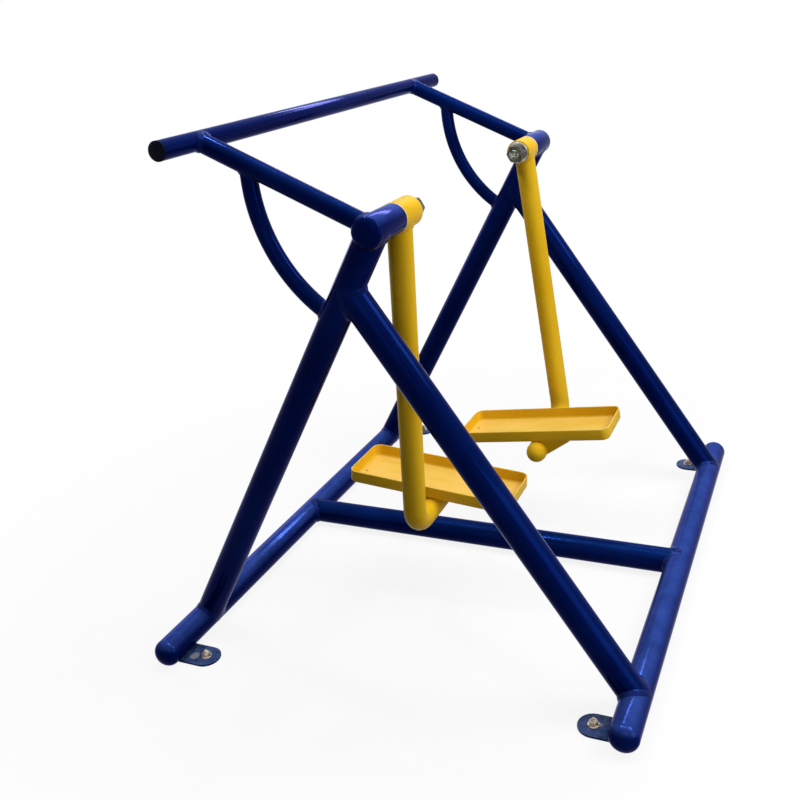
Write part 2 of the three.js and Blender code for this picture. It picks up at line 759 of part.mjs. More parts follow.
const addSwing = (parent, side) => {
  const group = new THREE.Group();
  group.position.set(HUB_SETBACK, 0, HUB_HEIGHT);
  group.rotation.y = -THREE.MathUtils.degToRad(side.swingDegrees);
  addTurningHub(group, side);
  const hubAxis = {
    ...mainPipe,
    from: at(0, 0, 0),
    to: at(0, side.sign * A_FRAME_SPREAD, 0),
  };
  const arm = cope(sweepPipe(armStations(side.sign), SWING_ARM_OD, SWING_ARM_WALL), hubAxis);
  addPiece(group, `${side.name}_swing_arm`, arm, yellowPaint);
  const cap = addPiece(
    group,
    `${side.name}_foot_tube_cap`,
    domedCap(SWING_ARM_OD, armRadius, DOME_WALL),
    yellowPaint,
  );
  cap.position.set(0, side.sign * (footTubeEnd - CLEARANCE), -ARM_DROP);
  cap.rotation.z = side.sign > 0 ? Math.PI : 0;
  const trayBottom = -ARM_DROP + armRadius + CLEARANCE;
  const pan = addPiece(group, `${side.name}_tray`, tray(), yellowPaint);
  pan.position.set(-TRAY_FORWARD, (side.sign * (TRAY_SPREAD + TRAY_WIDTH)) / 2, trayBottom);
  addPiece(group, `${side.name}_tray_gusset`, gusset(side.sign, trayBottom), yellowPaint);
  parent.add(group);
};

const airWalker = new THREE.Group();
addBase(airWalker);
for (const side of sides) addAFrame(airWalker, side);
addHandlebar(airWalker);
for (const side of sides) {
  addFixedHub(airWalker, side);
  addSwing(airWalker, side);
}

export default airWalker;
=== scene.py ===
import math

import bmesh
import bpy
import numpy as np
from mathutils import Matrix, Vector


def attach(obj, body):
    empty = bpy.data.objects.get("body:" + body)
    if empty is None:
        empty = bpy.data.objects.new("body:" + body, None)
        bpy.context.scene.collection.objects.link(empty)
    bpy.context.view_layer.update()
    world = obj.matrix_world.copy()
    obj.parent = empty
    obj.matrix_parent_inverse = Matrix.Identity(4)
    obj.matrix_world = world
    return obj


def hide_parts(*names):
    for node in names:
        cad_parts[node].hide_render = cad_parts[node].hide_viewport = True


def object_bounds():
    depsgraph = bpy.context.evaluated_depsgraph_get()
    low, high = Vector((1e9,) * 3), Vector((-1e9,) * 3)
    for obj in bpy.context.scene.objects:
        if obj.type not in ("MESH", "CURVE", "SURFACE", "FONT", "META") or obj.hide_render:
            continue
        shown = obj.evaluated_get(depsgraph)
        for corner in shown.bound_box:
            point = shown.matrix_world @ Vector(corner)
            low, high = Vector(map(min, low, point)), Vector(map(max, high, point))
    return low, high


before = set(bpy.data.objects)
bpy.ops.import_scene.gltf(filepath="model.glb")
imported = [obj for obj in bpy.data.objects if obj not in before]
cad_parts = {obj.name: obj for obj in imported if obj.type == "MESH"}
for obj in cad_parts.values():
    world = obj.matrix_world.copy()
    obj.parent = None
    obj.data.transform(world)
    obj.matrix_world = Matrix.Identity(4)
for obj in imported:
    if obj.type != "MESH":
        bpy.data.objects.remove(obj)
cad_low, cad_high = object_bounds()

# Sizes in metres, as in the CAD source
CLEARANCE = 0.0003
FRONT_X = -0.63
REAR_X = 0.63
SIDE_Y = 0.62
HUB_X = 0.047
HUB_Z = 1.2
# Each skid's X and half length, and which way its tabs point
SKIDS = {"front": (FRONT_X, 0.845, 1), "rear": (REAR_X, 0.7875, -1)}
# Each side's sign along Y, and how many degrees its arm hangs back
SIDES = {"left": (-1, -5.0), "right": (1, 7.3)}

# Main pipes and their domed caps
PIPE_R = 0.03805
PIPE_WALL = 0.0032
DOME_WALL = 0.003
SKID_DOME = 0.028
REAR_LEG_DROP = 0.17

# Handlebar, handle arms and braces
BAR_X = -0.399
BAR_Z = 1.409
BAR_MID_Y = 0.02
BAR_HALF = 0.792
BAR_R = 0.02415
BAR_WALL = 0.0029
PLUG_SPIGOT = 0.022
PLUG_WALL = 0.0025
PLUG_CHAMFER = 0.0006
PLUG_SIDE = 0.0024
PLUG_CROWN = 0.0036
HANDLE_ARM_R = 0.02415
HANDLE_ARM_WALL = 0.0029
BRACE_R = 0.0212
BRACE_WALL = 0.0026
BRACE_FORWARD = 0.317
BRACE_BEND_Z = 1.317
BRACE_BEND_R = 0.398

# Foot tabs and ground anchors
TAB_REACH = 0.086
TAB_SETBACK = 0.082
TAB_TOP = 0.006
STUD_R = 0.006
STUD_TOP = 0.0238
STUD_FOOT = 0.0002
STUD_CHAMFER = 0.0012
STUD_THREAD_TOP = 0.0228
STUD_PITCH = 0.00175
STUD_THREAD_DEPTH = 0.0009
ANCHOR_WASHER_R = 0.015
ANCHOR_WASHER_BORE_R = 0.0062
ANCHOR_WASHER_THICKNESS = 0.0025
ANCHOR_NUT_FLATS = 0.019
ANCHOR_NUT_HEIGHT = 0.01

# Hubs. Heights count outboard from the housing's inboard face.
HUB_FACE = 0.52
HUB_LENGTH = 0.14
HUB_WALL = 0.005
HUB_DOME = 0.016
THRUST_R = 0.0382
THRUST_THICKNESS = 0.0024
SLEEVE_OUT = -0.003
SLEEVE_IN = -0.092
BEARING_SEAT_R = 0.0313
BEARING_LAND_R = 0.028
BEARING_DEPTH = 0.0163
AXLE_R = 0.0147
AXLE_HOLE_R = 0.015
AXLE_RISE = 0.009
AXLE_TIP_R = 0.0127
AXLE_PITCH = 0.002
AXLE_THREAD_DEPTH = 0.0011
AXLE_THREAD_START = 0.0016
AXLE_THREAD_IN_NUT = 0.004
AXLE_PLAIN_IN_NUT = 0.005
CENTRE_HOLE_R = 0.0075
CENTRE_HOLE_FLOOR_R = 0.006
CENTRE_HOLE_DEPTH = 0.0015
AXLE_BODY_R = 0.021
COLLAR_R = 0.0327
COLLAR_THICKNESS = 0.012
AXLE_WASHER_R = 0.034
AXLE_WASHER_THICKNESS = 0.005
AXLE_NUT_FLATS = 0.05
AXLE_NUT_HEIGHT = 0.032
AXLE_NUT_BORE_R = 0.0149

# Swinging arms and trays
ARM_TOP_Y = 0.485
ARM_DROP = 0.91
ARM_LEAN = math.radians(5)
ARM_BEND_R = 0.06
ARM_R = 0.03175
ARM_WALL = 0.0032
FOOT_END_Y = 0.11
TRAY_LENGTH = 0.505
TRAY_WIDTH = 0.19
TRAY_HEIGHT = 0.038
TRAY_WALL = 0.004
TRAY_CORNER = 0.026
TRAY_PRESS = 0.008
TRAY_INNER_PRESS = 0.007
TRAY_LEAST_CORNER = 0.002
TRAY_Y = 0.21
TRAY_X = -0.012
DRAIN_X = -0.228
DRAIN_Y = 0.02
DRAIN_R = 0.0045
DRAIN_SEGMENTS = 24

# Rounded and chamfered edges, and how much of a side a rounded corner may take
CORNER_SHARE = 0.45
CAP_CHAMFER = 0.0006
SKID_CAP_CHAMFER = 0.0008
HOUSING_EDGE = 0.001
THRUST_EDGE = 0.0005
SLEEVE_EDGE = 0.0012
AXLE_WASHER_EDGE = 0.0016
ANCHOR_WASHER_EDGE = 0.0006
BEARING_EDGE = 0.0004
GUSSET_EDGE = 0.001
TAB_EDGE = 0.0012
NUT_CHAMFER = 0.0015
NUT_EDGE_LOW = 0.0004
NUT_EDGE_HIGH = 0.0012
NUT_EDGE_SHARE = 0.995
NUT_CORNER_SHARE = 0.985
NUT_CORNER_DROP = 0.58
NUT_SEAT_SHARE = 0.95

# How finely the meshes are divided
SEGMENTS = 64
STUD_SEGMENTS = 40
NUT_SEGMENTS = 96
FILLET_STEPS = 4
SKID_DOME_STEPS = 12
HUB_DOME_STEPS = 14
FOOT_DOME_STEPS = 16
PLUG_DOME_STEPS = 10
PIPE_RINGS = 24
ARM_RINGS = 90
TRAY_PRESS_STEPS = 6
TRAY_LIP_STEPS = 8
TRAY_CORNER_STEPS = 8
SMOOTH_UNDER = 40
NUT_SMOOTH_UNDER = 22
ANCHOR_SMOOTH_UNDER = 25
WELD_SMOOTH_UNDER = 80

# Coping, where one pipe is cut to fit another
COPE_SINK = 0.0006
COPE_REACH = 0.3
COPE_SHARE = 0.6
COPE_SAMPLES = 150
COPE_HALVINGS = 24
COPE_BAND = 0.004

# Welds: their width to each side of the edge, or the radius of a bead and how deep its centre lies
MAIN_WELD = 0.009
ARM_WELD = 0.008
BRACE_WELD = 0.0065
SKID_BEAD, SKID_BEAD_DEPTH = 0.0016, 0.0014
HUB_BEAD, HUB_BEAD_DEPTH = 0.0015, 0.001
FOOT_BEAD, FOOT_BEAD_DEPTH = 0.0013, 0.0008
ARM_WELD_SETBACK = 0.0005
FEWEST_RIPPLES = 12
SWELL_SPAN = 9
SEED_STEP = 977
BEAD_RIPPLE = 0.0034
BEAD_RIPPLE_STEPS = 4
BEAD_SIDES = 8
BEAD_HOLLOW = 0.99
BEAD_RIPPLE_RISE = 0.02
BEAD_SWELL = 0.05
FILLET_RIPPLE = 0.004
FILLET_RIPPLE_STEPS = 3
FILLET_SHARES = 9
FILLET_CROWN = 0.05
FILLET_HOLLOW = 0.24
FILLET_RIPPLE_RISE = 0.03
FILLET_SWELL = 0.08
STEEPEST = 0.95
TOE_SINK = 0.0004
ROOT_SINK = 0.0012

ON_AXIS = 1e-9


# Mesh building


def add_object(name, mesh, material, body, nodes=()):
    piece = bpy.data.objects.new(name, mesh)
    bpy.context.scene.collection.objects.link(piece)
    mesh.materials.append(material)
    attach(piece, body)
    if nodes:
        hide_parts(*nodes)
    return piece


def finish_mesh(bm, name, smooth_under):
    bmesh.ops.recalc_face_normals(bm, faces=bm.faces)
    mesh = bpy.data.meshes.new(name)
    bm.to_mesh(mesh)
    bm.free()
    for polygon in mesh.polygons:
        polygon.use_smooth = True
    mesh.set_sharp_from_angle(angle=math.radians(smooth_under))
    return mesh


def skin(name, rings, loop=True, caps=False, smooth_under=SMOOTH_UNDER):
    """A mesh from a row of rings. A ring is an array of points, or one point at a pole."""
    bm = bmesh.new()
    made = [[bm.verts.new(p) for p in np.atleast_2d(ring)] for ring in rings]
    pairs = list(zip(made, made[1:]))
    if loop:
        pairs.append((made[-1], made[0]))
    for a, b in pairs:
        count = max(len(a), len(b))
        for i in range(count if count > 1 else 0):
            j = (i + 1) % count
            if len(a) == 1:
                bm.faces.new((a[0], b[i], b[j]))
            elif len(b) == 1:
                bm.faces.new((a[i], a[j], b[0]))
            else:
                bm.faces.new((a[i], a[j], b[j], b[i]))
    if caps:
        bm.faces.new(made[0])
        bm.faces.new(made[-1])
    return finish_mesh(bm, name, smooth_under)


def add_skin(name, rings, material, body, slot, nodes=(), **shape):
    return add_object(name, skin(name, rings, **shape), material, body, nodes)


def transform_points(points, matrix):
    m = np.array(matrix)
    return np.atleast_2d(points) @ m[:3, :3].T + m[:3, 3]


def unit_rows(rows):
    return rows / np.linalg.norm(rows, axis=1)[:, None]


def around(segments):
    return np.linspace(0, 2 * math.pi, segments, endpoint=False)


def lathe_rings(profile, matrix, segments=SEGMENTS):
    """Rings of a profile of (radius, height) turned about the local Y axis."""
    angles = around(segments)
    rings = []
    for radius, height in profile:
        if radius < ON_AXIS:
            ring = np.array([[0, height, 0]])
        else:
            ring = np.stack([radius * np.sin(angles), np.full(segments, height), radius * np.cos(angles)], 1)
        rings.append(transform_points(ring, matrix))
    return rings


def place_y(x, y, z, outward):
    """Local Y points outward along the world's Y."""
    turn = Matrix.Identity(4) if outward > 0 else Matrix.Rotation(math.pi, 4, "Z")
    return Matrix.Translation((x, y, z)) @ turn


def dome(radius, rise, steps):
    """Profile from the rim, at zero, to the crown, at rise."""
    points = []
    for i in range(steps + 1):
        a = math.pi / 2 * i / steps
        points.append((0 if i == steps else radius * math.cos(a), rise * math.sin(a)))
    return points


def cap_profile(radius, rise, chamfer, steps, base=0.0):
    """The closed profile of a hollow domed cap."""
    outside = [(radius - chamfer, 0.0), (radius, chamfer)] + dome(radius, rise, steps)[1:]
    inside = dome(radius - DOME_WALL, rise - DOME_WALL, steps)[::-1]
    return [(r, base + h) for r, h in outside + inside]


def fillet(corner, before, after, radius):
    """Points that round a profile's corner."""
    c = Vector(corner)
    a = (Vector(before) - c).normalized()
    b = (Vector(after) - c).normalized()
    set_back = radius / math.tan(a.angle(b) / 2)
    start = c + a * set_back
    end = c + b * set_back
    points = []
    for i in range(FILLET_STEPS + 1):
        t = i / FILLET_STEPS
        points.append(tuple(start.lerp(c, t).lerp(c.lerp(end, t), t)))
    return points


def rounded(profile, radius):
    """A closed profile with each corner off the axis rounded, by less than half of its shorter side."""
    points = []
    n = len(profile)
    for i, p in enumerate(profile):
        if p[0] < ON_AXIS:
            points.append(p)
            continue
        before, after = profile[i - 1], profile[(i + 1) % n]
        reach = min((Vector(before) - Vector(p)).length, (Vector(after) - Vector(p)).length) * CORNER_SHARE
        points.extend(fillet(p, before, after, min(radius, reach)))
    return points


def ring_profile(bore, radius, low, high, edge):
    """The closed profile of a flat ring with rounded edges."""
    return rounded([(bore, low), (radius, low), (radius, high), (bore, high)], edge)


# Pipes. A cutter is (point on axis, direction, radius, ends) of the pipe that another is coped to.
# One that ends has nothing behind its point.


def cutter(a, b, radius, ends=False):
    a, b = np.array(a, float), np.array(b, float)
    return a, (b - a) / np.linalg.norm(b - a), radius, ends


def from_axes(point, cutters):
    """The radius of each cutter that reaches the point, and the way to the point from its axis."""
    found = []
    for origin, direction, radius, ends in cutters:
        offset = point - origin
        if ends and offset @ direction < 0:
            continue
        found.append((radius, offset - direction * (offset @ direction)))
    return found


def depth_in(point, cutters):
    depths = [np.linalg.norm(across) - radius + COPE_SINK for radius, across in from_axes(point, cutters)]
    return min(depths, default=1.0)


def cumulative(path):
    steps = np.linalg.norm(np.diff(path, axis=0), axis=1)
    return np.concatenate([[0], np.cumsum(steps)])


def path_tangents(path):
    return unit_rows(np.gradient(path, axis=0))


def side_lines(path, binormal, radius):
    normals = np.cross(binormal, path_tangents(path))
    return [path + radius * (math.cos(a) * normals + math.sin(a) * binormal) for a in around(SEGMENTS)]


def point_at(line, lengths, s):
    return np.array([np.interp(s, lengths, line[:, k]) for k in range(3)])


def leave_length(line, lengths, cutters):
    """How far along a side line of a pipe it leaves the pipes it is welded to."""
    if not cutters:
        return 0.0
    samples = np.linspace(0, min(COPE_REACH, lengths[-1] * COPE_SHARE), COPE_SAMPLES + 1)
    inside = [i for i, s in enumerate(samples) if depth_in(point_at(line, lengths, s), cutters) < 0]
    if not inside:
        return 0.0
    low, high = samples[inside[-1]], samples[min(inside[-1] + 1, COPE_SAMPLES)]
    for _ in range(COPE_HALVINGS):
        middle = (low + high) / 2
        if depth_in(point_at(line, lengths, middle), cutters) < 0:
            low = middle
        else:
            high = middle
    return high


def straight(a, b, count=200):
    a, b = np.array(a, float), np.array(b, float)
    return a + (b - a) * np.linspace(0, 1, count)[:, None]


def arc(start, heading, side, radius, angle, count=60):
    start, heading, side = (np.array(v, float) for v in (start, heading, side))
    turned = np.linspace(0, angle, count)[:, None]
    return start + radius * (heading * np.sin(turned) + side * (1 - np.cos(turned)))


def join_paths(*paths):
    points = [paths[0]] + [p[1:] for p in paths[1:]]
    return np.concatenate(points)


def pipe(path, radius, wall, binormal=None, start=(), end=(), rings=PIPE_RINGS):
    """Rings of a hollow pipe, and its outer edge at each end, where a weld lies."""
    if binormal is None:
        along = Vector(path[-1] - path[0]).normalized()
        other = Vector((0, 0, 1)) if abs(along.z) < 0.9 else Vector((1, 0, 0))
        binormal = along.cross(other).normalized()
    binormal = np.array(binormal, float)
    lengths = cumulative(path)
    total = lengths[-1]
    shells = []
    for r in (radius, radius - wall):
        lines = side_lines(path, binormal, r)
        first = [leave_length(line, lengths, start) for line in lines]
        last = [total - leave_length(line[::-1], total - lengths[::-1], end) for line in lines]
        shares = np.linspace(max(first) + COPE_BAND, min(last) - COPE_BAND, rings)
        shell = [np.array([point_at(l, lengths, s) for l, s in zip(lines, first)])]
        for s in shares:
            shell.append(np.array([point_at(l, lengths, s) for l in lines]))
        shell.append(np.array([point_at(l, lengths, s) for l, s in zip(lines, last)]))
        shells.append(shell)
    outer, inner = shells
    return outer + inner[::-1], outer[0], outer[-1]


# Welds


def close_loop(points):
    closed = np.concatenate([points, points[:1]])
    return closed, cumulative(closed)


def resample_loop(points, count):
    closed, lengths = close_loop(points)
    s = np.linspace(0, lengths[-1], count, endpoint=False)
    return np.stack([np.interp(s, lengths, closed[:, k]) for k in range(3)], 1)


def smooth_loop(values, passes):
    for _ in range(passes):
        values = (np.roll(values, 1, 0) + values * 2 + np.roll(values, -1, 0)) / 4
    return values


def loop_tangents(line):
    return unit_rows(np.roll(line, -1, 0) - np.roll(line, 1, 0))


def count_ripples(edge, ripple):
    _, lengths = close_loop(edge)
    return max(FEWEST_RIPPLES, round(lengths[-1] / ripple))


def weld_swell(name, ripples, count):
    """Slow random changes in a weld's size, one for each ripple."""
    rng = np.random.default_rng(len(name) * SEED_STEP + count)
    return np.convolve(rng.normal(0, 1, ripples + SWELL_SPAN - 1), np.ones(SWELL_SPAN) / SWELL_SPAN, "valid")


def weld_bead(name, edge, radius, material, body, slot):
    """A rippled weld that follows a closed edge."""
    ripples = count_ripples(edge, BEAD_RIPPLE)
    count = ripples * BEAD_RIPPLE_STEPS
    line = smooth_loop(resample_loop(edge, count), 6)
    tangents = loop_tangents(line)
    reference = np.linalg.svd(line - line.mean(0))[2][2]
    swell = weld_swell(name, ripples, count)
    angles = around(BEAD_SIDES)[:, None]
    rings = []
    for i in range(count):
        n = reference - tangents[i] * (reference @ tangents[i])
        n /= np.linalg.norm(n)
        b = np.cross(tangents[i], n)
        ripple = abs(math.sin(math.pi * i / BEAD_RIPPLE_STEPS))
        uneven = BEAD_SWELL * swell[i // BEAD_RIPPLE_STEPS]
        size = radius * (BEAD_HOLLOW + BEAD_RIPPLE_RISE * ripple + uneven)
        ring = line[i] + size * (np.cos(angles) * n + np.sin(angles) * b)
        rings.append(np.clip(ring, cad_low, cad_high))
    return add_skin(name, rings, material, body, slot, smooth_under=WELD_SMOOTH_UNDER)


def from_path(points, path):
    """The ways to points on a pipe's wall, square from its bent axis."""
    nearest = np.linalg.norm(points[:, None] - path[None], axis=2).argmin(1)
    tangents = path_tangents(path)[nearest]
    offset = points - path[nearest]
    return offset - tangents * (offset * tangents).sum(1)[:, None]


def nearest_wall(point, mains):
    """The way out of the nearest pipe's wall, and how deep the point is under it."""
    best = None
    for radius, across in from_axes(point, mains):
        distance = np.linalg.norm(across)
        if best is None or distance - radius < best[0]:
            best = (distance - radius, across / distance, radius - distance)
    return best[1:]


def fillet_weld(name, edge, path, radius, mains, width, material, body, slot, half_reach=math.inf):
    """A weld that fills the corner between a pipe and the pipes that it is coped to.

    It ends at half_reach to either side of the middle of the part, along Y.
    """
    low, high = np.array(cad_low), np.array(cad_high)
    low[1], high[1] = max(low[1], -half_reach), min(high[1], half_reach)
    ripples = count_ripples(edge, FILLET_RIPPLE)
    count = ripples * FILLET_RIPPLE_STEPS
    line = smooth_loop(resample_loop(edge, count), 4)
    tangents = loop_tangents(line)
    branch_out = unit_rows(from_path(line, path))
    main_out = np.array([nearest_wall(p, mains)[0] for p in line])
    up = smooth_loop(branch_out + main_out, 6)
    up = unit_rows(up - tangents * (up * tangents).sum(1)[:, None])
    across = np.cross(tangents, up)
    middle = path[len(path) // 2] - line.mean(0)
    if (across @ middle).sum() < 0:
        across = -across
    # how steeply both walls rise from the edge
    slope = smooth_loop(np.clip(-(branch_out * across).sum(1), 0, STEEPEST), 4)
    swell = weld_swell(name, ripples, count)
    rings = []
    for i in range(count):
        leg = width * (1 + FILLET_SWELL * swell[i // FILLET_RIPPLE_STEPS])
        ripple = abs(math.sin(math.pi * i / FILLET_RIPPLE_STEPS))
        rise = leg * (FILLET_CROWN - FILLET_HOLLOW * slope[i] ** 2 + FILLET_RIPPLE_RISE * ripple)
        flat = leg * math.sqrt(1 - slope[i] ** 2)
        ring = []
        for share in np.linspace(-1, 1, FILLET_SHARES):
            height = leg * slope[i] + rise * (1 - share**2)
            ring.append(line[i] + across[i] * flat * share + up[i] * height)
        # both toes end just under the walls
        offset = from_path(ring[-1][None], path)[0]
        distance = np.linalg.norm(offset)
        ring[-1] = ring[-1] + offset / distance * (radius - TOE_SINK - distance)
        out, depth = nearest_wall(ring[0], mains)
        ring[0] = ring[0] + out * (depth - TOE_SINK)
        ring.append(line[i] - up[i] * ROOT_SINK)
        rings.append(np.clip(np.array(ring), low, high))
    return add_skin(name, rings, material, body, slot, smooth_under=WELD_SMOOTH_UNDER)


# Materials


def new_material(name):
    material = bpy.data.materials.new(name)
    material.use_nodes = True
    tree = material.node_tree
    return material, tree, tree.nodes["Principled BSDF"]


def set_inputs(node, values):
    for name, value in values.items():
        node.inputs[name].default_value = value


def add_noise(tree, scale, detail=4.0, roughness=0.55, stretch=None):
    coordinates = tree.nodes.new("ShaderNodeTexCoord")
    output = coordinates.outputs["Object"]
    if stretch:
        mapping = tree.nodes.new("ShaderNodeMapping")
        mapping.inputs["Scale"].default_value = stretch
        tree.links.new(output, mapping.inputs["Vector"])
        output = mapping.outputs["Vector"]
    noise = tree.nodes.new("ShaderNodeTexNoise")
    set_inputs(noise, {"Scale": scale, "Detail": detail, "Roughness": roughness})
    tree.links.new(output, noise.inputs["Vector"])
    return noise.outputs["Fac"]


def add_ramp(tree, source, low, high):
    """A ramp between two stops of (position, value)."""
    ramp = tree.nodes.new("ShaderNodeValToRGB")
    for element, (position, value) in zip(ramp.color_ramp.elements, (low, high)):
        element.position = position
        element.color = (value, value, value, 1)
    tree.links.new(source, ramp.inputs["Fac"])
    return ramp.outputs["Color"]


def set_or_link(tree, socket, value):
    if isinstance(value, bpy.types.NodeSocket):
        tree.links.new(value, socket)
    else:
        socket.default_value = value


def add_mix(tree, factor, a, b):
    """a where factor is 0 and b where it is 1. Each is a colour or another node's output."""
    mix = tree.nodes.new("ShaderNodeMix")
    mix.data_type = "RGBA"
    tree.links.new(factor, mix.inputs["Factor"])
    for socket, value in ((mix.inputs["A"], a), (mix.inputs["B"], b)):
        set_or_link(tree, socket, (*value, 1) if isinstance(value, tuple) else value)
    return mix.outputs["Result"]


def add_math(tree, operation, a, b):
    node = tree.nodes.new("ShaderNodeMath")
    node.operation = operation
    node.use_clamp = True
    for socket, value in zip(node.inputs, (a, b)):
        set_or_link(tree, socket, value)
    return node.outputs["Value"]


def add_bump(tree, shader, layers):
    """Layers are (height, strength, distance)."""
    normal = None
    for height, strength, distance in layers:
        bump = tree.nodes.new("ShaderNodeBump")
        set_inputs(bump, {"Strength": strength, "Distance": distance})
        tree.links.new(height, bump.inputs["Height"])
        if normal:
            tree.links.new(normal, bump.inputs["Normal"])
        normal = bump.outputs["Normal"]
    tree.links.new(normal, shader.inputs["Normal"])


def spot_mask(tree, centre, radius, ragged=0.9):
    """1 inside a ragged spot about a point of the object, and 0 outside."""
    coordinates = tree.nodes.new("ShaderNodeTexCoord")
    distance = tree.nodes.new("ShaderNodeVectorMath")
    distance.operation = "DISTANCE"
    distance.inputs[1].default_value = centre
    tree.links.new(coordinates.outputs["Object"], distance.inputs[0])
    noise = add_noise(tree, 140 / (radius / 0.01) ** 0.5, 3)
    uneven = tree.nodes.new("ShaderNodeMath")
    uneven.operation = "MULTIPLY_ADD"
    uneven.inputs[1].default_value = radius * ragged
    tree.links.new(noise, uneven.inputs[0])
    tree.links.new(distance.outputs["Value"], uneven.inputs[2])
    edge = tree.nodes.new("ShaderNodeMapRange")
    middle = radius * (1 + ragged / 2)
    set_inputs(edge, {"From Min": middle * 0.97, "From Max": middle * 1.03, "To Min": 1, "To Max": 0})
    tree.links.new(uneven.outputs["Value"], edge.inputs["Value"])
    return edge.outputs["Result"]


def upward(tree, low, high):
    """1 on faces that look up and 0 on those that look sideways or down."""
    geometry = tree.nodes.new("ShaderNodeNewGeometry")
    split = tree.nodes.new("ShaderNodeSeparateXYZ")
    tree.links.new(geometry.outputs["Normal"], split.inputs["Vector"])
    return add_ramp(tree, split.outputs["Z"], (low, 0.0), (high, 1.0))


def paint(
    name,
    base,
    faded,
    primer,
    sheen,
    *,
    roughness,
    level,
    metallic=0.0,
    chips=(),
    dust_and_sheen=None,
    dust_and_sheen_share=0.0,
    patches=1.0,
):
    """Sprayed enamel on steel: uneven tone, dust and a painted sheen on faces that look up, orange peel and
    chips down to primer.
    """
    material, tree, shader = new_material(name)
    tone = add_ramp(tree, add_noise(tree, 3.2, 5), (0.38, 0.0), (0.66, 1.0))
    colour = add_mix(tree, tone, base, faded)
    # faces that look up turn towards a lighter colour: partly dust, partly a painted sheen of the sky
    if dust_and_sheen:
        # finer and less even where patches is under 1
        thinnest = 0.55 * patches**2
        uneven_cover = add_ramp(tree, add_noise(tree, 14 / patches**2, 6, 0.65), (0.3, thinnest), (0.64, 1.0))
        top_cover = add_math(tree, "MULTIPLY", upward(tree, 0.35, 0.95), uneven_cover)
        colour = add_mix(tree, add_math(tree, "MULTIPLY", top_cover, dust_and_sheen_share), colour, dust_and_sheen)
    mask = add_ramp(tree, add_noise(tree, 260, 2, 0.4), (0.76, 0.0), (0.775, 1.0))
    for centre, radius in chips:
        mask = add_math(tree, "MAXIMUM", mask, spot_mask(tree, centre, radius))
    colour = add_mix(tree, mask, colour, primer)
    tree.links.new(colour, shader.inputs["Base Color"])
    wear = add_ramp(tree, add_noise(tree, 11, 6, 0.62), (0.3, roughness[0]), (0.72, roughness[1]))
    rough = add_math(tree, "ADD", wear, add_math(tree, "MULTIPLY", mask, 0.35))
    tree.links.new(rough, shader.inputs["Roughness"])
    set_inputs(shader, {"Specular IOR Level": level, "Specular Tint": (*sheen, 1), "Metallic": metallic})
    peel = add_noise(tree, 210, 2, 0.5)
    sag = add_noise(tree, 38, 2, 0.5)
    lifted = add_math(tree, "SUBTRACT", 1.0, mask)
    add_bump(tree, shader, [(sag, 0.07, 0.0016), (peel, 0.02, 0.0006), (lifted, 0.5, 0.0004)])
    return material


def tray_paint(name, base, faded, scuffed_and_painted_light, primer):
    """Yellow enamel with shoe scuffs and rubbed streaks along the tray. Where it faces up, the scuffs are
    also painted lighter, as painted light from above.
    """
    material, tree, shader = new_material(name)
    tone = add_ramp(tree, add_noise(tree, 5, 5), (0.36, 0.0), (0.66, 1.0))
    colour = add_mix(tree, tone, base, faded)
    level = upward(tree, 0.86, 0.97)
    scuff = add_ramp(tree, add_noise(tree, 9, 8, 0.68, (0.5, 1.6, 1)), (0.34, 0.35), (0.62, 1.0))
    colour = add_mix(tree, add_math(tree, "MULTIPLY", level, scuff), colour, scuffed_and_painted_light)
    streaks = add_ramp(tree, add_noise(tree, 60, 4, 0.7, (0.14, 1, 1)), (0.69, 0.0), (0.74, 1.0))
    worn = add_math(tree, "MULTIPLY", level, streaks)
    colour = add_mix(tree, worn, colour, primer)
    tree.links.new(colour, shader.inputs["Base Color"])
    rough = add_ramp(tree, add_noise(tree, 16, 6, 0.62), (0.3, 0.36), (0.72, 0.56))
    rough = add_math(tree, "ADD", rough, add_math(tree, "MULTIPLY", worn, 0.2))
    tree.links.new(rough, shader.inputs["Roughness"])
    shader.inputs["Specular IOR Level"].default_value = 0.14
    sag = add_noise(tree, 34, 2, 0.5)
    peel = add_noise(tree, 230, 2, 0.5)
    add_bump(tree, shader, [(sag, 0.18, 0.0016), (peel, 0.1, 0.0006)])
    return material


def metal(name, colour, dull, roughness, stretch=(1, 1, 1), scale=120, bump=0.12, tarnish=(45, 0.4, 0.7)):
    """Bare or plated steel. Tarnish is the size of its patches, and where they begin and are full."""
    material, tree, shader = new_material(name)
    size, begins, full = tarnish
    patches = add_ramp(tree, add_noise(tree, size, 5, 0.6), (begins, 0.0), (full, 1.0))
    tree.links.new(add_mix(tree, patches, colour, dull), shader.inputs["Base Color"])
    shader.inputs["Metallic"].default_value = 1
    wear = add_noise(tree, scale, 4, 0.6, stretch)
    rough = add_ramp(tree, wear, (0.3, roughness[0]), (0.7, roughness[1]))
    tree.links.new(rough, shader.inputs["Roughness"])
    add_bump(tree, shader, [(wear, bump, 0.0004)])
    return material


def plastic(name, colour, faded, roughness, level=0.5):
    material, tree, shader = new_material(name)
    patches = add_ramp(tree, add_noise(tree, 30, 5), (0.4, 0.0), (0.65, 1.0))
    tree.links.new(add_mix(tree, patches, colour, faded), shader.inputs["Base Color"])
    shader.inputs["Specular IOR Level"].default_value = level
    grain = add_noise(tree, 420, 3, 0.6)
    rough = add_ramp(tree, grain, (0.3, roughness[0]), (0.7, roughness[1]))
    tree.links.new(rough, shader.inputs["Roughness"])
    add_bump(tree, shader, [(grain, 0.2, 0.0005)])
    return material


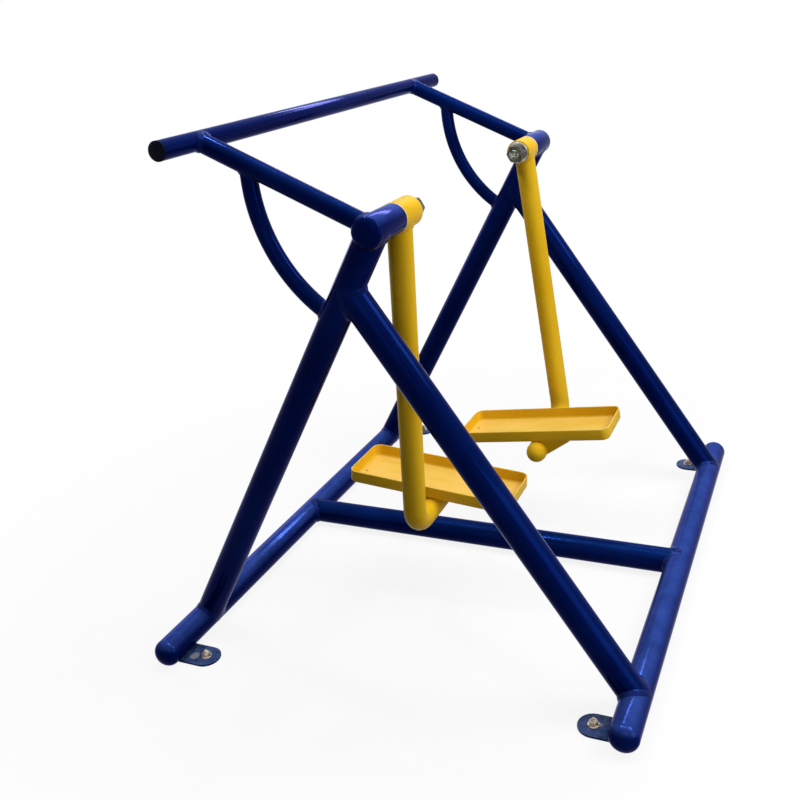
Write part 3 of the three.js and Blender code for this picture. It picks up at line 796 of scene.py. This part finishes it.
BLUE = (0.0006, 0.0044, 0.058)
BLUE_FADED = (0.0014, 0.0084, 0.086)
# lighter blues for faces that look up: partly dust, partly a painted sheen
BLUE_DUST_AND_SHEEN = (0.034, 0.072, 0.34)
BLUE_FAINT_DUST_AND_SHEEN = (0.006, 0.044, 0.22)
BLUE_PRIMER = (0.03, 0.026, 0.025)
BLUE_SHEEN = (0.06, 0.25, 1.0)
WELD_SHEEN = (0.2, 0.4, 1.0)
# lighter blue for the tabs' tops: partly dust, partly a painted sheen
TAB_DUST_AND_SHEEN = (0.07, 0.12, 0.3)
TAB_PRIMER = (0.26, 0.28, 0.34)
TAB_SHEEN = (0.3, 0.45, 1.0)
YELLOW = (0.72, 0.42, 0.008)
YELLOW_FADED = (0.8, 0.49, 0.018)
# the floor's scuffed yellow, also made lighter as painted light from above
YELLOW_SCUFFED_AND_PAINTED_LIGHT = (0.9, 0.57, 0.12)
# a paler yellow for the trays' lips
YELLOW_PALE_LIP = (0.84, 0.57, 0.12)
YELLOW_PRIMER = (0.16, 0.12, 0.06)
YELLOW_SHEEN = (1, 0.8, 0.4)

# The worst chips: where each is on the object, and its radius
SCRAPES = [
    ((0.402, -0.66, 0.445), 0.006),
    ((0.405, -0.655, 0.425), 0.003),
    ((0.66, -0.31, 0.058), 0.004),
    ((0.655, 0.13, 0.06), 0.0035),
    ((0.648, -0.05, 0.07), 0.0025),
]
TAB_SCRAPES = [
    ((-0.578, -0.772, 0.006), 0.014),
    ((-0.556, -0.752, 0.006), 0.009),
    ((0.56, -0.7, 0.006), 0.006),
]


def blue_paint(name, dust_and_sheen, dust_and_sheen_share):
    return paint(
        name,
        BLUE,
        BLUE_FADED,
        BLUE_PRIMER,
        BLUE_SHEEN,
        roughness=(0.06, 0.16),
        level=0.02,
        metallic=0.2,
        chips=SCRAPES,
        dust_and_sheen=dust_and_sheen,
        dust_and_sheen_share=dust_and_sheen_share,
    )


def yellow_paint(name, base):
    return paint(name, base, YELLOW_FADED, YELLOW_PRIMER, YELLOW_SHEEN, roughness=(0.36, 0.52), level=0.07)


# the enamels and the welds are lighter where they face up, partly dust and partly a painted sheen; most on
# the skids and hub housings
blue = blue_paint("blue_enamel", BLUE_FAINT_DUST_AND_SHEEN, 0.3)
dust_and_sheen_blue = blue_paint("dust_and_sheen_blue_enamel", BLUE_DUST_AND_SHEEN, 0.95)
blue_weld = paint(
    "blue_weld",
    BLUE,
    BLUE_FADED,
    BLUE_PRIMER,
    WELD_SHEEN,
    roughness=(0.1, 0.2),
    level=0.05,
    metallic=0.2,
    dust_and_sheen=BLUE_DUST_AND_SHEEN,
    dust_and_sheen_share=0.35,
)
tab_blue = paint(
    "tab_enamel",
    BLUE,
    BLUE_FADED,
    TAB_PRIMER,
    TAB_SHEEN,
    roughness=(0.28, 0.45),
    level=0.12,
    chips=TAB_SCRAPES,
    dust_and_sheen=TAB_DUST_AND_SHEEN,
    dust_and_sheen_share=1.0,
    patches=0.5,
)
yellow = yellow_paint("yellow_enamel", YELLOW)
# the tray's lip is painted a paler yellow than the rest
rim = yellow_paint("pale_lip_enamel", YELLOW_PALE_LIP)
tread = tray_paint("scuffed_painted_light_enamel", YELLOW, YELLOW_FADED, YELLOW_SCUFFED_AND_PAINTED_LIGHT, YELLOW_PRIMER)
# three copies of one plated steel, painted bright, dark and mid grey as painted reflections: bright washers,
# dark nuts, mid-grey axles; the patches in each are tarnish and wear
bright_reflection_chrome = metal("bright_reflection_plate", (0.5, 0.5, 0.46), (0.16, 0.155, 0.12), (0.1, 0.22), tarnish=(40, 0.42, 0.6))
dark_reflection_chrome = metal(
    "dark_reflection_plate", (0.1, 0.1, 0.088), (0.03, 0.029, 0.022), (0.07, 0.16), tarnish=(30, 0.4, 0.6)
)
worn_mid_reflection_chrome = metal(
    "worn_mid_reflection_plate", (0.26, 0.27, 0.23), (0.05, 0.048, 0.036), (0.14, 0.3), tarnish=(70, 0.42, 0.6)
)
zinc = metal("dull_zinc", (0.6, 0.6, 0.6), (0.3, 0.29, 0.28), (0.32, 0.52), bump=0.2)
rusty = metal(
    "rusty_zinc", (0.55, 0.49, 0.42), (0.17, 0.12, 0.08), (0.34, 0.6), bump=0.3, tarnish=(90, 0.46, 0.62)
)
race = metal("ground_race", (0.5, 0.5, 0.5), (0.34, 0.33, 0.32), (0.2, 0.4), stretch=(1, 40, 1), scale=20)
nylon = plastic("nylon", (0.74, 0.7, 0.6), (0.6, 0.55, 0.45), (0.45, 0.65))
black = plastic("dark_stopper", (0.002, 0.0028, 0.011), (0.004, 0.0055, 0.02), (0.4, 0.6), level=0.04)


# The base

skid_cutters = {}
for skid, (x, half, _) in SKIDS.items():
    reach = half - SKID_DOME - CLEARANCE
    a, b = (x, -reach, PIPE_R), (x, reach, PIPE_R)
    skid_cutters[skid] = cutter(a, b, PIPE_R)
    rings, _, _ = pipe(straight(a, b), PIPE_R, PIPE_WALL)
    # the skids are painted lighter on top: partly dust, partly a painted sheen
    add_skin(f"{skid}_skid_pipe", rings, dust_and_sheen_blue, "frame", "blue_paint", [f"{skid}_skid"])
    for side, (sign, _) in SIDES.items():
        name = f"{skid}_skid_{side}_dome"
        place = place_y(x, sign * (half - SKID_DOME), PIPE_R, sign)
        rings = lathe_rings(cap_profile(PIPE_R, SKID_DOME, SKID_CAP_CHAMFER, SKID_DOME_STEPS), place)
        add_skin(name, rings, dust_and_sheen_blue, "frame", "blue_paint", [f"{skid}_skid_{side}_cap"])
        edge = lathe_rings([(PIPE_R - SKID_BEAD_DEPTH, 0)], place)[0]
        weld_bead(f"weld_{name}", edge, SKID_BEAD, blue_weld, "frame", "blue_paint")

cross_path = straight((FRONT_X, 0, PIPE_R), (REAR_X, 0, PIPE_R))
cross_ends = {"front": [skid_cutters["front"]], "rear": [skid_cutters["rear"]]}
rings, *edges = pipe(cross_path, PIPE_R, PIPE_WALL, start=cross_ends["front"], end=cross_ends["rear"])
add_skin("cross_tube_pipe", rings, blue, "frame", "blue_paint", ["cross_tube"])
for edge, (skid, mains) in zip(edges, cross_ends.items()):
    name = f"weld_cross_tube_{skid}"
    fillet_weld(name, edge, cross_path, PIPE_R, mains, MAIN_WELD, blue_weld, "frame", "blue_paint")


# The A-frames, handle arms, braces and handlebar

bar_low, bar_high = BAR_MID_Y - BAR_HALF, BAR_MID_Y + BAR_HALF
bar = cutter((BAR_X, bar_low, BAR_Z), (BAR_X, bar_high, BAR_Z), BAR_R)
for side, (sign, _) in SIDES.items():
    y = sign * SIDE_Y
    top = np.array((HUB_X, y, HUB_Z))
    front_foot = np.array((FRONT_X, y, PIPE_R))
    rear_foot = (REAR_X, y, PIPE_R)
    arm_end = np.array((BAR_X, y, BAR_Z))
    down_leg = (front_foot - top) / np.linalg.norm(front_foot - top)
    crotch = top + down_leg * REAR_LEG_DROP
    hub = cutter(top, top + (0, sign, 0), PIPE_R)
    leg = cutter(top, front_foot, PIPE_R, ends=True)
    handle_arm = cutter(top, arm_end, HANDLE_ARM_R)
    front_skid, rear_skid = skid_cutters["front"], skid_cutters["rear"]

    # the brace drops from the handle arm and bends until its axis meets the front leg's
    brace_rise = BRACE_FORWARD * (BAR_Z - HUB_Z) / (HUB_X - BAR_X)
    brace_top = np.array((HUB_X - BRACE_FORWARD, y, HUB_Z + brace_rise))
    bend_start = np.array((brace_top[0], y, BRACE_BEND_Z))
    centre = bend_start + (BRACE_BEND_R, 0, 0)
    offset = top - centre
    half = offset @ down_leg
    brace_end = top + down_leg * (-half + math.sqrt(half**2 - offset @ offset + BRACE_BEND_R**2))
    angle = math.atan2(centre[2] - brace_end[2], centre[0] - brace_end[0])
    bend = arc(bend_start, (0, 0, -1), (1, 0, 0), BRACE_BEND_R, angle)
    brace_path = join_paths(straight(brace_top, bend_start, 60), bend)

    leg_path = straight(top, front_foot)
    rear_path = straight(crotch, rear_foot)
    handle_path = straight(top, arm_end)
    plan = [
        ("front_leg", leg_path, PIPE_R, PIPE_WALL, [hub], [front_skid], MAIN_WELD),
        ("rear_leg", rear_path, PIPE_R, PIPE_WALL, [leg], [rear_skid], MAIN_WELD),
        ("handle_arm", handle_path, HANDLE_ARM_R, HANDLE_ARM_WALL, [hub, leg], [bar], ARM_WELD),
        ("brace", brace_path, BRACE_R, BRACE_WALL, [handle_arm], [leg], BRACE_WELD),
    ]
    for node, path, radius, wall, start, end, weld in plan:
        binormal = (0, 1, 0) if node == "brace" else None
        rings, first, last = pipe(path, radius, wall, binormal, start, end)
        name = f"{side}_{node}"
        add_skin(f"{name}_pipe", rings, blue, "frame", "blue_paint", [name])
        for end_name, edge, mains in (("a", first, start), ("b", last, end)):
            weld_name = f"weld_{name}_{end_name}"
            fillet_weld(weld_name, edge, path, radius, mains, weld, blue_weld, "frame", "blue_paint")

bar_path = straight((BAR_X, bar_low + CLEARANCE, BAR_Z), (BAR_X, bar_high - CLEARANCE, BAR_Z))
rings, _, _ = pipe(bar_path, BAR_R, BAR_WALL)
add_skin("handlebar_pipe", rings, blue, "frame", "blue_paint", ["handlebar"])
for side, (sign, _) in SIDES.items():
    spigot = BAR_R - BAR_WALL - CLEARANCE
    profile = [
        (0, 0.0),
        (spigot - PLUG_WALL, 0),
        (spigot - PLUG_WALL, -PLUG_SPIGOT),
        (spigot, -PLUG_SPIGOT),
        (spigot, 0),
        (BAR_R - PLUG_CHAMFER, 0),
        (BAR_R, PLUG_CHAMFER),
        (BAR_R, PLUG_SIDE),
    ]
    profile += [(r, PLUG_SIDE + h) for r, h in dome(BAR_R, PLUG_CROWN, PLUG_DOME_STEPS)[1:]]
    rings = lathe_rings(profile, place_y(BAR_X, BAR_MID_Y + sign * BAR_HALF, BAR_Z, sign))
    nodes = [f"handlebar_{side}_plug"]
    add_skin(f"handlebar_{side}_stop", rings, black, "frame", "black_plastic", nodes, loop=False)


# The hubs


def arm_tilt(degrees):
    """Takes an arm that hangs straight down from the origin to its place under the hubs' axis."""
    return Matrix.Translation((HUB_X, 0, HUB_Z)) @ Matrix.Rotation(-math.radians(degrees), 4, "Y")


def nut_rings(flats, height, bore, matrix):
    """Rings of a hexagon nut with turned-down corners, about the local Y axis."""
    angles = around(NUT_SEGMENTS)
    folded = (angles + math.pi / 6) % (math.pi / 3) - math.pi / 6
    apothem = flats / 2
    corner = apothem / np.cos(folded)
    # rounds the vertical edges
    corner = np.minimum(corner, apothem / math.cos(math.pi / 6) * NUT_CORNER_SHARE)
    drop = (corner - apothem) * NUT_CORNER_DROP
    seat = apothem * NUT_SEAT_SHARE
    chamfer = min(NUT_CHAMFER, (seat - bore) * 0.5)

    def ring(radii, heights):
        radii = np.broadcast_to(radii, angles.shape)
        heights = np.broadcast_to(heights, angles.shape)
        points = np.stack([radii * np.sin(angles), heights, radii * np.cos(angles)], 1)
        return transform_points(points, matrix)

    return [
        ring(bore, chamfer),
        ring(bore + chamfer, 0.0),
        ring(seat, 0.0),
        ring(corner * NUT_EDGE_SHARE, drop + NUT_EDGE_LOW),
        ring(corner, drop + NUT_EDGE_HIGH),
        ring(corner, height - drop - NUT_EDGE_HIGH),
        ring(corner * NUT_EDGE_SHARE, height - drop - NUT_EDGE_LOW),
        ring(seat, height),
        ring(bore + chamfer, height),
        ring(bore, height - chamfer),
    ]


def threaded(radius, low, high, pitch, depth):
    """A profile of a thread, from low to high, drawn as close rings."""
    points = []
    turns = max(2, round((high - low) / pitch))
    step = (high - low) / turns
    for i in range(turns):
        y = low + (high - low) * i / turns
        points += [(radius, y + step * 0.15), (radius - depth, y + step * 0.5), (radius, y + step * 0.85)]
    return points


for side, (sign, degrees) in SIDES.items():
    here = place_y(HUB_X, sign * HUB_FACE, HUB_Z, sign)
    tilt = arm_tilt(degrees)
    turning = tilt @ place_y(0, sign * HUB_FACE, 0, sign)

    bore = PIPE_R - HUB_WALL
    housing = rounded([(PIPE_R, 0), (PIPE_R, HUB_LENGTH), (bore, HUB_LENGTH), (bore, 0)], HOUSING_EDGE)
    rings = lathe_rings(housing, here)
    # the housing's top is painted lighter: partly dust, partly a painted sheen
    add_skin(f"{side}_hub_pipe", rings, dust_and_sheen_blue, "frame", "blue_paint", [f"{side}_hub_housing"])

    cap = cap_profile(PIPE_R, HUB_DOME, CAP_CHAMFER, HUB_DOME_STEPS, HUB_LENGTH + CLEARANCE)
    rings = lathe_rings(cap, here)
    add_skin(f"{side}_hub_dome", rings, blue, "frame", "blue_paint", [f"{side}_hub_cap"])
    edge = lathe_rings([(PIPE_R - HUB_BEAD_DEPTH, HUB_LENGTH)], here)[0]
    weld_bead(f"weld_{side}_hub_dome", edge, HUB_BEAD, blue_weld, "frame", "blue_paint")

    thrust_low = -CLEARANCE - THRUST_THICKNESS
    rings = lathe_rings(ring_profile(AXLE_HOLE_R, THRUST_R, thrust_low, -CLEARANCE, THRUST_EDGE), here)
    add_skin(f"{side}_thrust_ring", rings, nylon, "frame", "pale_nylon", [f"{side}_thrust_washer"])

    sleeve = [
        (PIPE_R, SLEEVE_IN),
        (PIPE_R, SLEEVE_OUT),
        (BEARING_SEAT_R, SLEEVE_OUT),
        (BEARING_SEAT_R, SLEEVE_OUT - BEARING_DEPTH),
        (BEARING_LAND_R, SLEEVE_OUT - BEARING_DEPTH),
        (BEARING_LAND_R, SLEEVE_IN + BEARING_DEPTH),
        (BEARING_SEAT_R, SLEEVE_IN + BEARING_DEPTH),
        (BEARING_SEAT_R, SLEEVE_IN),
    ]
    rings = lathe_rings(rounded(sleeve, SLEEVE_EDGE), turning)
    add_skin(f"{side}_sleeve_pipe", rings, yellow, f"{side}_swing", "yellow_paint", [f"{side}_sleeve"])

    washer_low = SLEEVE_IN - CLEARANCE - AXLE_WASHER_THICKNESS
    washer_high = washer_low + AXLE_WASHER_THICKNESS
    washer = ring_profile(AXLE_HOLE_R, AXLE_WASHER_R, washer_low, washer_high, AXLE_WASHER_EDGE)
    rings = lathe_rings(washer, here)
    add_skin(f"{side}_axle_disc", rings, bright_reflection_chrome, "frame", "bright_steel", [f"{side}_axle_washer"])

    nut_low = washer_low - CLEARANCE - AXLE_NUT_HEIGHT
    nut_place = here @ Matrix.Translation((0, nut_low, 0))
    rings = nut_rings(AXLE_NUT_FLATS, AXLE_NUT_HEIGHT, AXLE_NUT_BORE_R, nut_place)
    add_skin(
        f"{side}_axle_hex",
        rings,
        dark_reflection_chrome,
        "frame",
        "bright_steel",
        [f"{side}_axle_nut"],
        smooth_under=NUT_SMOOTH_UNDER,
    )

    # from the threaded end, past the journal and the inboard collar, to the outboard collar
    end = nut_low - AXLE_RISE
    axle = [
        (0, end + CENTRE_HOLE_DEPTH),
        (CENTRE_HOLE_FLOOR_R, end + CENTRE_HOLE_DEPTH),
        (CENTRE_HOLE_R, end),
        (AXLE_TIP_R, end),
    ]
    thread_top = nut_low + AXLE_THREAD_IN_NUT
    axle += threaded(AXLE_R, end + AXLE_THREAD_START, thread_top, AXLE_PITCH, AXLE_THREAD_DEPTH)
    axle += [
        (AXLE_R, nut_low + AXLE_PLAIN_IN_NUT),
        (AXLE_R, 0),
        (COLLAR_R, 0),
        (COLLAR_R, COLLAR_THICKNESS),
        (AXLE_BODY_R, COLLAR_THICKNESS),
        (AXLE_BODY_R, HUB_LENGTH - 2 * COLLAR_THICKNESS),
        (COLLAR_R, HUB_LENGTH - 2 * COLLAR_THICKNESS),
        (COLLAR_R, HUB_LENGTH - COLLAR_THICKNESS),
        (0, HUB_LENGTH - COLLAR_THICKNESS),
    ]
    rings = lathe_rings(axle, here)
    nodes = [f"{side}_axle"]
    add_skin(f"{side}_axle_shaft", rings, worn_mid_reflection_chrome, "frame", "bright_steel", nodes, loop=False)


# The swinging arms and their trays


def rounded_rectangle(length, width, radius, z):
    points = []
    for cx, cy, start in ((1, 1, 0), (-1, 1, 90), (-1, -1, 180), (1, -1, 270)):
        x, y = cx * (length / 2 - radius), cy * (width / 2 - radius)
        for i in range(TRAY_CORNER_STEPS + 1):
            a = math.radians(start + 90 * i / TRAY_CORNER_STEPS)
            points.append((x + radius * math.cos(a), y + radius * math.sin(a), z))
    return np.array(points)


def tray_rings(matrix):
    """The pan's outside from its bottom up, over its rim and down to its floor."""
    rings = []

    def ring(inset, z):
        radius = max(TRAY_CORNER - inset, TRAY_LEAST_CORNER)
        flat = rounded_rectangle(TRAY_LENGTH - 2 * inset, TRAY_WIDTH - 2 * inset, radius, z)
        rings.append(transform_points(flat, matrix))

    for i in range(TRAY_PRESS_STEPS + 1):
        a = math.pi / 2 * i / TRAY_PRESS_STEPS
        ring(TRAY_PRESS * (1 - math.sin(a)), TRAY_PRESS * (1 - math.cos(a)))
    lip = TRAY_WALL / 2
    for i in range(TRAY_LIP_STEPS + 1):
        a = math.pi * i / TRAY_LIP_STEPS
        ring(lip - lip * math.cos(a), TRAY_HEIGHT - lip + lip * math.sin(a))
    for i in range(TRAY_PRESS_STEPS + 1):
        a = math.pi / 2 * i / TRAY_PRESS_STEPS
        inset = TRAY_INNER_PRESS * (1 - math.cos(a))
        height = TRAY_INNER_PRESS * (1 - math.sin(a))
        ring(TRAY_WALL + inset, TRAY_WALL + height)
    return rings


def pale_lip_faces(mesh, material):
    """Gives the faces that go over a tray's lip a material of their own."""
    mesh.materials.append(material)
    loop_faces = 4 * (TRAY_CORNER_STEPS + 1)
    first = (TRAY_PRESS_STEPS + 2) * loop_faces
    for polygon in mesh.polygons[first : first + (TRAY_LIP_STEPS - 2) * loop_faces]:
        polygon.material_index = len(mesh.materials) - 1


def drill(piece, x, y, radius, matrix):
    """Cuts a round hole through a plate along its local Z."""
    place = matrix @ Matrix.Translation((x, y, 0))
    bm = bmesh.new()
    bmesh.ops.create_cone(
        bm,
        cap_ends=True,
        segments=DRAIN_SEGMENTS,
        radius1=radius,
        radius2=radius,
        depth=TRAY_WALL * 10,
        matrix=place,
    )
    mesh = bpy.data.meshes.new("drill")
    bm.to_mesh(mesh)
    bm.free()
    tool = bpy.data.objects.new("drill", mesh)
    bpy.context.scene.collection.objects.link(tool)
    cut = piece.modifiers.new("holes", "BOOLEAN")
    cut.operation = "DIFFERENCE"
    cut.solver = "EXACT"
    cut.object = tool
    graph = bpy.context.evaluated_depsgraph_get()
    made = bpy.data.meshes.new_from_object(piece.evaluated_get(graph))
    piece.modifiers.remove(cut)
    piece.data = made
    made.set_sharp_from_angle(angle=math.radians(SMOOTH_UNDER))
    bpy.data.objects.remove(tool)


for side, (sign, degrees) in SIDES.items():
    body = f"{side}_swing"
    tilt = arm_tilt(degrees)
    top = np.array((0, sign * ARM_TOP_Y, 0))
    heading = np.array((0, -sign * math.sin(ARM_LEAN), -math.cos(ARM_LEAN)))
    inboard = np.array((0, -sign, 0))
    turn = math.acos(heading @ inboard)
    towards = np.array((0, -sign * math.cos(ARM_LEAN), math.sin(ARM_LEAN)))
    elbow = top + heading * (ARM_DROP / math.cos(ARM_LEAN))
    bend_start = elbow - heading * (ARM_BEND_R * math.tan(turn / 2))
    bend = arc(bend_start, heading, towards, ARM_BEND_R, turn)
    foot_end = (0, sign * FOOT_END_Y, -ARM_DROP)
    path = join_paths(straight(top, bend_start, 160), bend, straight(bend[-1], foot_end, 60))
    path = transform_points(path, tilt)
    middle, rightward, forward = transform_points([(0, 0, 0), (0, 1, 0), (1, 0, 0)], tilt)
    axis = cutter(middle, rightward, PIPE_R)
    rings, first, _ = pipe(path, ARM_R, ARM_WALL, forward - middle, [axis], rings=ARM_RINGS)
    add_skin(f"{side}_arm_pipe", rings, yellow, body, "yellow_paint", [f"{side}_swing_arm"])
    sleeve_face = HUB_FACE + SLEEVE_OUT - ARM_WELD_SETBACK
    name = f"weld_{side}_arm"
    fillet_weld(name, first, path, ARM_R, [axis], ARM_WELD, yellow, body, "yellow_paint", sleeve_face)

    place = tilt @ place_y(0, sign * (FOOT_END_Y - CLEARANCE), -ARM_DROP, -sign)
    rings = lathe_rings(cap_profile(ARM_R, ARM_R, CAP_CHAMFER, FOOT_DOME_STEPS), place)
    add_skin(f"{side}_foot_dome", rings, yellow, body, "yellow_paint", [f"{side}_foot_tube_cap"])
    edge = lathe_rings([(ARM_R - FOOT_BEAD_DEPTH, 0)], place)[0]
    weld_bead(f"weld_{side}_foot_dome", edge, FOOT_BEAD, yellow, body, "yellow_paint")

    place = tilt @ Matrix.Translation((TRAY_X, sign * TRAY_Y, -ARM_DROP + ARM_R + CLEARANCE))
    rings = tray_rings(place)
    nodes = [f"{side}_tray"]
    pan = add_skin(f"{side}_foot_tray", rings, tread, body, "yellow_paint", nodes, loop=False, caps=True)
    pale_lip_faces(pan.data, rim)
    drill(pan, DRAIN_X, sign * DRAIN_Y, DRAIN_R, place)


# CAD nodes that keep their own shape


def dress(node, material, bevel):
    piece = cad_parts[node]
    piece.data.materials.clear()
    piece.data.materials.append(material)
    join = piece.modifiers.new("join", "WELD")
    join.merge_threshold = 0.00002
    edge = piece.modifiers.new("edge", "BEVEL")
    edge.width = bevel
    edge.segments = 3
    edge.limit_method = "ANGLE"
    edge.angle_limit = math.radians(SMOOTH_UNDER)
    for polygon in piece.data.polygons:
        polygon.use_smooth = True


for side in SIDES:
    dress(f"{side}_inboard_bearing", race, BEARING_EDGE)
    dress(f"{side}_outboard_bearing", race, BEARING_EDGE)
    dress(f"{side}_bearing_spacer", zinc, BEARING_EDGE)
    dress(f"{side}_tray_gusset", yellow, GUSSET_EDGE)
    for skid in SKIDS:
        dress(f"{skid}_{side}_foot_tab", tab_blue, TAB_EDGE)


# The ground anchors

washer_low = TAB_TOP + CLEARANCE
washer_high = washer_low + ANCHOR_WASHER_THICKNESS
washer = ring_profile(ANCHOR_WASHER_BORE_R, ANCHOR_WASHER_R, washer_low, washer_high, ANCHOR_WASHER_EDGE)
stud = [(0, STUD_FOOT), (STUD_R, STUD_FOOT)]
stud += threaded(STUD_R, washer_low, STUD_THREAD_TOP, STUD_PITCH, STUD_THREAD_DEPTH)
stud += [(STUD_R - STUD_CHAMFER, STUD_TOP), (0, STUD_TOP)]
for skid, (x, half, inward) in SKIDS.items():
    for side, (sign, _) in SIDES.items():
        name = f"{skid}_{side}_anchor"
        bolt_at = (x + inward * TAB_REACH, sign * (half - TAB_SETBACK), 0)
        upright = Matrix.Translation(bolt_at) @ Matrix.Rotation(math.pi / 2, 4, "X")
        nut_place = upright @ Matrix.Translation((0, washer_high, 0))
        parts = {
            "washer": lathe_rings(washer, upright),
            "nut": nut_rings(ANCHOR_NUT_FLATS, ANCHOR_NUT_HEIGHT, STUD_R, nut_place),
        }
        for kind, rings in parts.items():
            part_name = f"{name}_{kind}"
            add_skin(part_name, rings, rusty, "frame", "zinc_plate", smooth_under=ANCHOR_SMOOTH_UNDER)
        rings = lathe_rings(stud, upright, STUD_SEGMENTS)
        add_skin(f"{name}_stud", rings, rusty, "frame", "zinc_plate", [name], loop=False)


# Floor, light and camera

FLOOR_HALF = 60
FLOOR_DROP = 0.0005


def plain_or_seen(tree, plain, seen):
    """The first shader where light only bounces, and the second to the camera and in reflections."""
    path = tree.nodes.new("ShaderNodeLightPath")
    in_view = add_math(tree, "MAXIMUM", path.outputs["Is Camera Ray"], path.outputs["Is Glossy Ray"])
    in_view = add_math(tree, "MAXIMUM", in_view, path.outputs["Is Transmission Ray"])
    mix = tree.nodes.new("ShaderNodeMixShader")
    tree.links.new(in_view, mix.inputs["Fac"])
    tree.links.new(plain, mix.inputs[1])
    tree.links.new(seen, mix.inputs[2])
    return mix.outputs["Shader"]


def floor_material():
    """Pale with a shadow around the object, and white further out."""
    material, tree, shader = new_material("floor")
    set_inputs(shader, {"Base Color": (0.16, 0.16, 0.165, 1), "Roughness": 0.9, "Specular IOR Level": 0})
    pale = tree.nodes.new("ShaderNodeBsdfDiffuse")
    pale.inputs["Color"].default_value = (0.93, 0.93, 0.93, 1)
    glow = tree.nodes.new("ShaderNodeEmission")
    glow.inputs["Color"].default_value = (1, 1, 1, 1)
    coordinates = tree.nodes.new("ShaderNodeTexCoord")
    reach = tree.nodes.new("ShaderNodeVectorMath")
    reach.operation = "LENGTH"
    tree.links.new(coordinates.outputs["Object"], reach.inputs[0])
    fade = tree.nodes.new("ShaderNodeMapRange")
    fade.interpolation_type = "SMOOTHSTEP"
    set_inputs(fade, {"From Min": 0.6, "From Max": 2.2, "To Min": 0.86})
    tree.links.new(reach.outputs["Value"], fade.inputs["Value"])
    half = tree.nodes.new("ShaderNodeMixShader")
    tree.links.new(fade.outputs["Result"], half.inputs["Fac"])
    tree.links.new(pale.outputs["BSDF"], half.inputs[1])
    tree.links.new(glow.outputs["Emission"], half.inputs[2])
    final = plain_or_seen(tree, shader.outputs["BSDF"], half.outputs["Shader"])
    tree.links.new(final, tree.nodes["Material Output"].inputs["Surface"])
    return material


bm = bmesh.new()
bmesh.ops.create_grid(bm, x_segments=2, y_segments=2, size=FLOOR_HALF)
floor = bpy.data.objects.new("floor", bpy.data.meshes.new("floor"))
bm.to_mesh(floor.data)
bm.free()
floor.location.z = -FLOOR_DROP
floor.data.materials.append(floor_material())
bpy.context.scene.collection.objects.link(floor)

world = bpy.data.worlds.new("world")
bpy.context.scene.world = world
world.use_nodes = True
tree = world.node_tree
sky = tree.nodes["Background"]
set_inputs(sky, {"Color": (0.86, 0.93, 1, 1), "Strength": 0.08})
white = tree.nodes.new("ShaderNodeBackground")
white.inputs["Color"].default_value = (1, 1, 1, 1)
final = plain_or_seen(tree, sky.outputs["Background"], white.outputs["Background"])
tree.links.new(final, tree.nodes["World Output"].inputs["Surface"])

# Each lamp's name, place, target, size and watts. The narrow ones make the streaks and glints.
LAMPS = [
    ("overhead", (0.1, 0.2, 4.2), (0.1, 0, 0.6), (4.2, 3.2), 50),
    ("strip", (-0.3, 0, 3.8), (0, 0, 0.5), (0.05, 3.4), 16),
    ("glint", (-0.5, -0.25, 2.6), (0.1, 0.5, 0.8), (0.12, 0.12), 8),
    ("right", (3.2, -1.2, 1.0), (0.4, -0.2, 0.3), (2, 1.4), 30),
    ("front", (1.2, -3.6, 2.2), (0, 0, 0.6), (2, 1.4), 11),
    ("back", (-0.4, 3.0, 3.22), (0, 0, 0.6), (1.8, 0.22), 24),
    ("back_left", (-3.0, 1.6, 1.1), (-0.4, 0, 0.3), (2, 1.0), 12),
    ("right_high", (2.6, 0.6, 3), (0.3, 0, 0.3), (1.6, 1.6), 70),
]
for name, location, target, size, watts in LAMPS:
    data = bpy.data.lights.new(name, "AREA")
    data.shape = "RECTANGLE"
    data.size, data.size_y = size
    data.energy = watts
    lamp = bpy.data.objects.new(name, data)
    lamp.location = location
    lamp.rotation_mode = "QUATERNION"
    lamp.rotation_quaternion = (Vector(location) - Vector(target)).to_track_quat("Z", "Y")
    bpy.context.scene.collection.objects.link(lamp)

# The camera, fitted to the photograph. Its shift is in shares of the image's width.
CAMERA_AT = (1.04328, -2.52176, 1.66839)
YAW, PITCH, ROLL = -0.4229, 0.3362, 0.0850
FOCAL_PIXELS = 956.57
IMAGE_PIXELS = 800
SENSOR_WIDTH = 36
SHIFT_X, SHIFT_Y = -0.05, -0.075

forward = Vector((math.sin(YAW) * math.cos(PITCH), math.cos(YAW) * math.cos(PITCH), -math.sin(PITCH)))
level_right = Vector((math.cos(YAW), -math.sin(YAW), 0))
level_down = forward.cross(level_right)
right = level_right * math.cos(ROLL) + level_down * math.sin(ROLL)
down = level_down * math.cos(ROLL) - level_right * math.sin(ROLL)
camera_data = bpy.data.cameras.new("camera")
camera_data.sensor_width = SENSOR_WIDTH
camera_data.lens = FOCAL_PIXELS * SENSOR_WIDTH / IMAGE_PIXELS
camera_data.shift_x, camera_data.shift_y = SHIFT_X, SHIFT_Y
camera = bpy.data.objects.new("camera", camera_data)
camera.matrix_world = Matrix.Translation(CAMERA_AT) @ Matrix((right, -down, -forward)).transposed().to_4x4()
bpy.context.scene.collection.objects.link(camera)
bpy.context.scene.camera = camera
bpy.context.scene.view_settings.view_transform = "Standard"
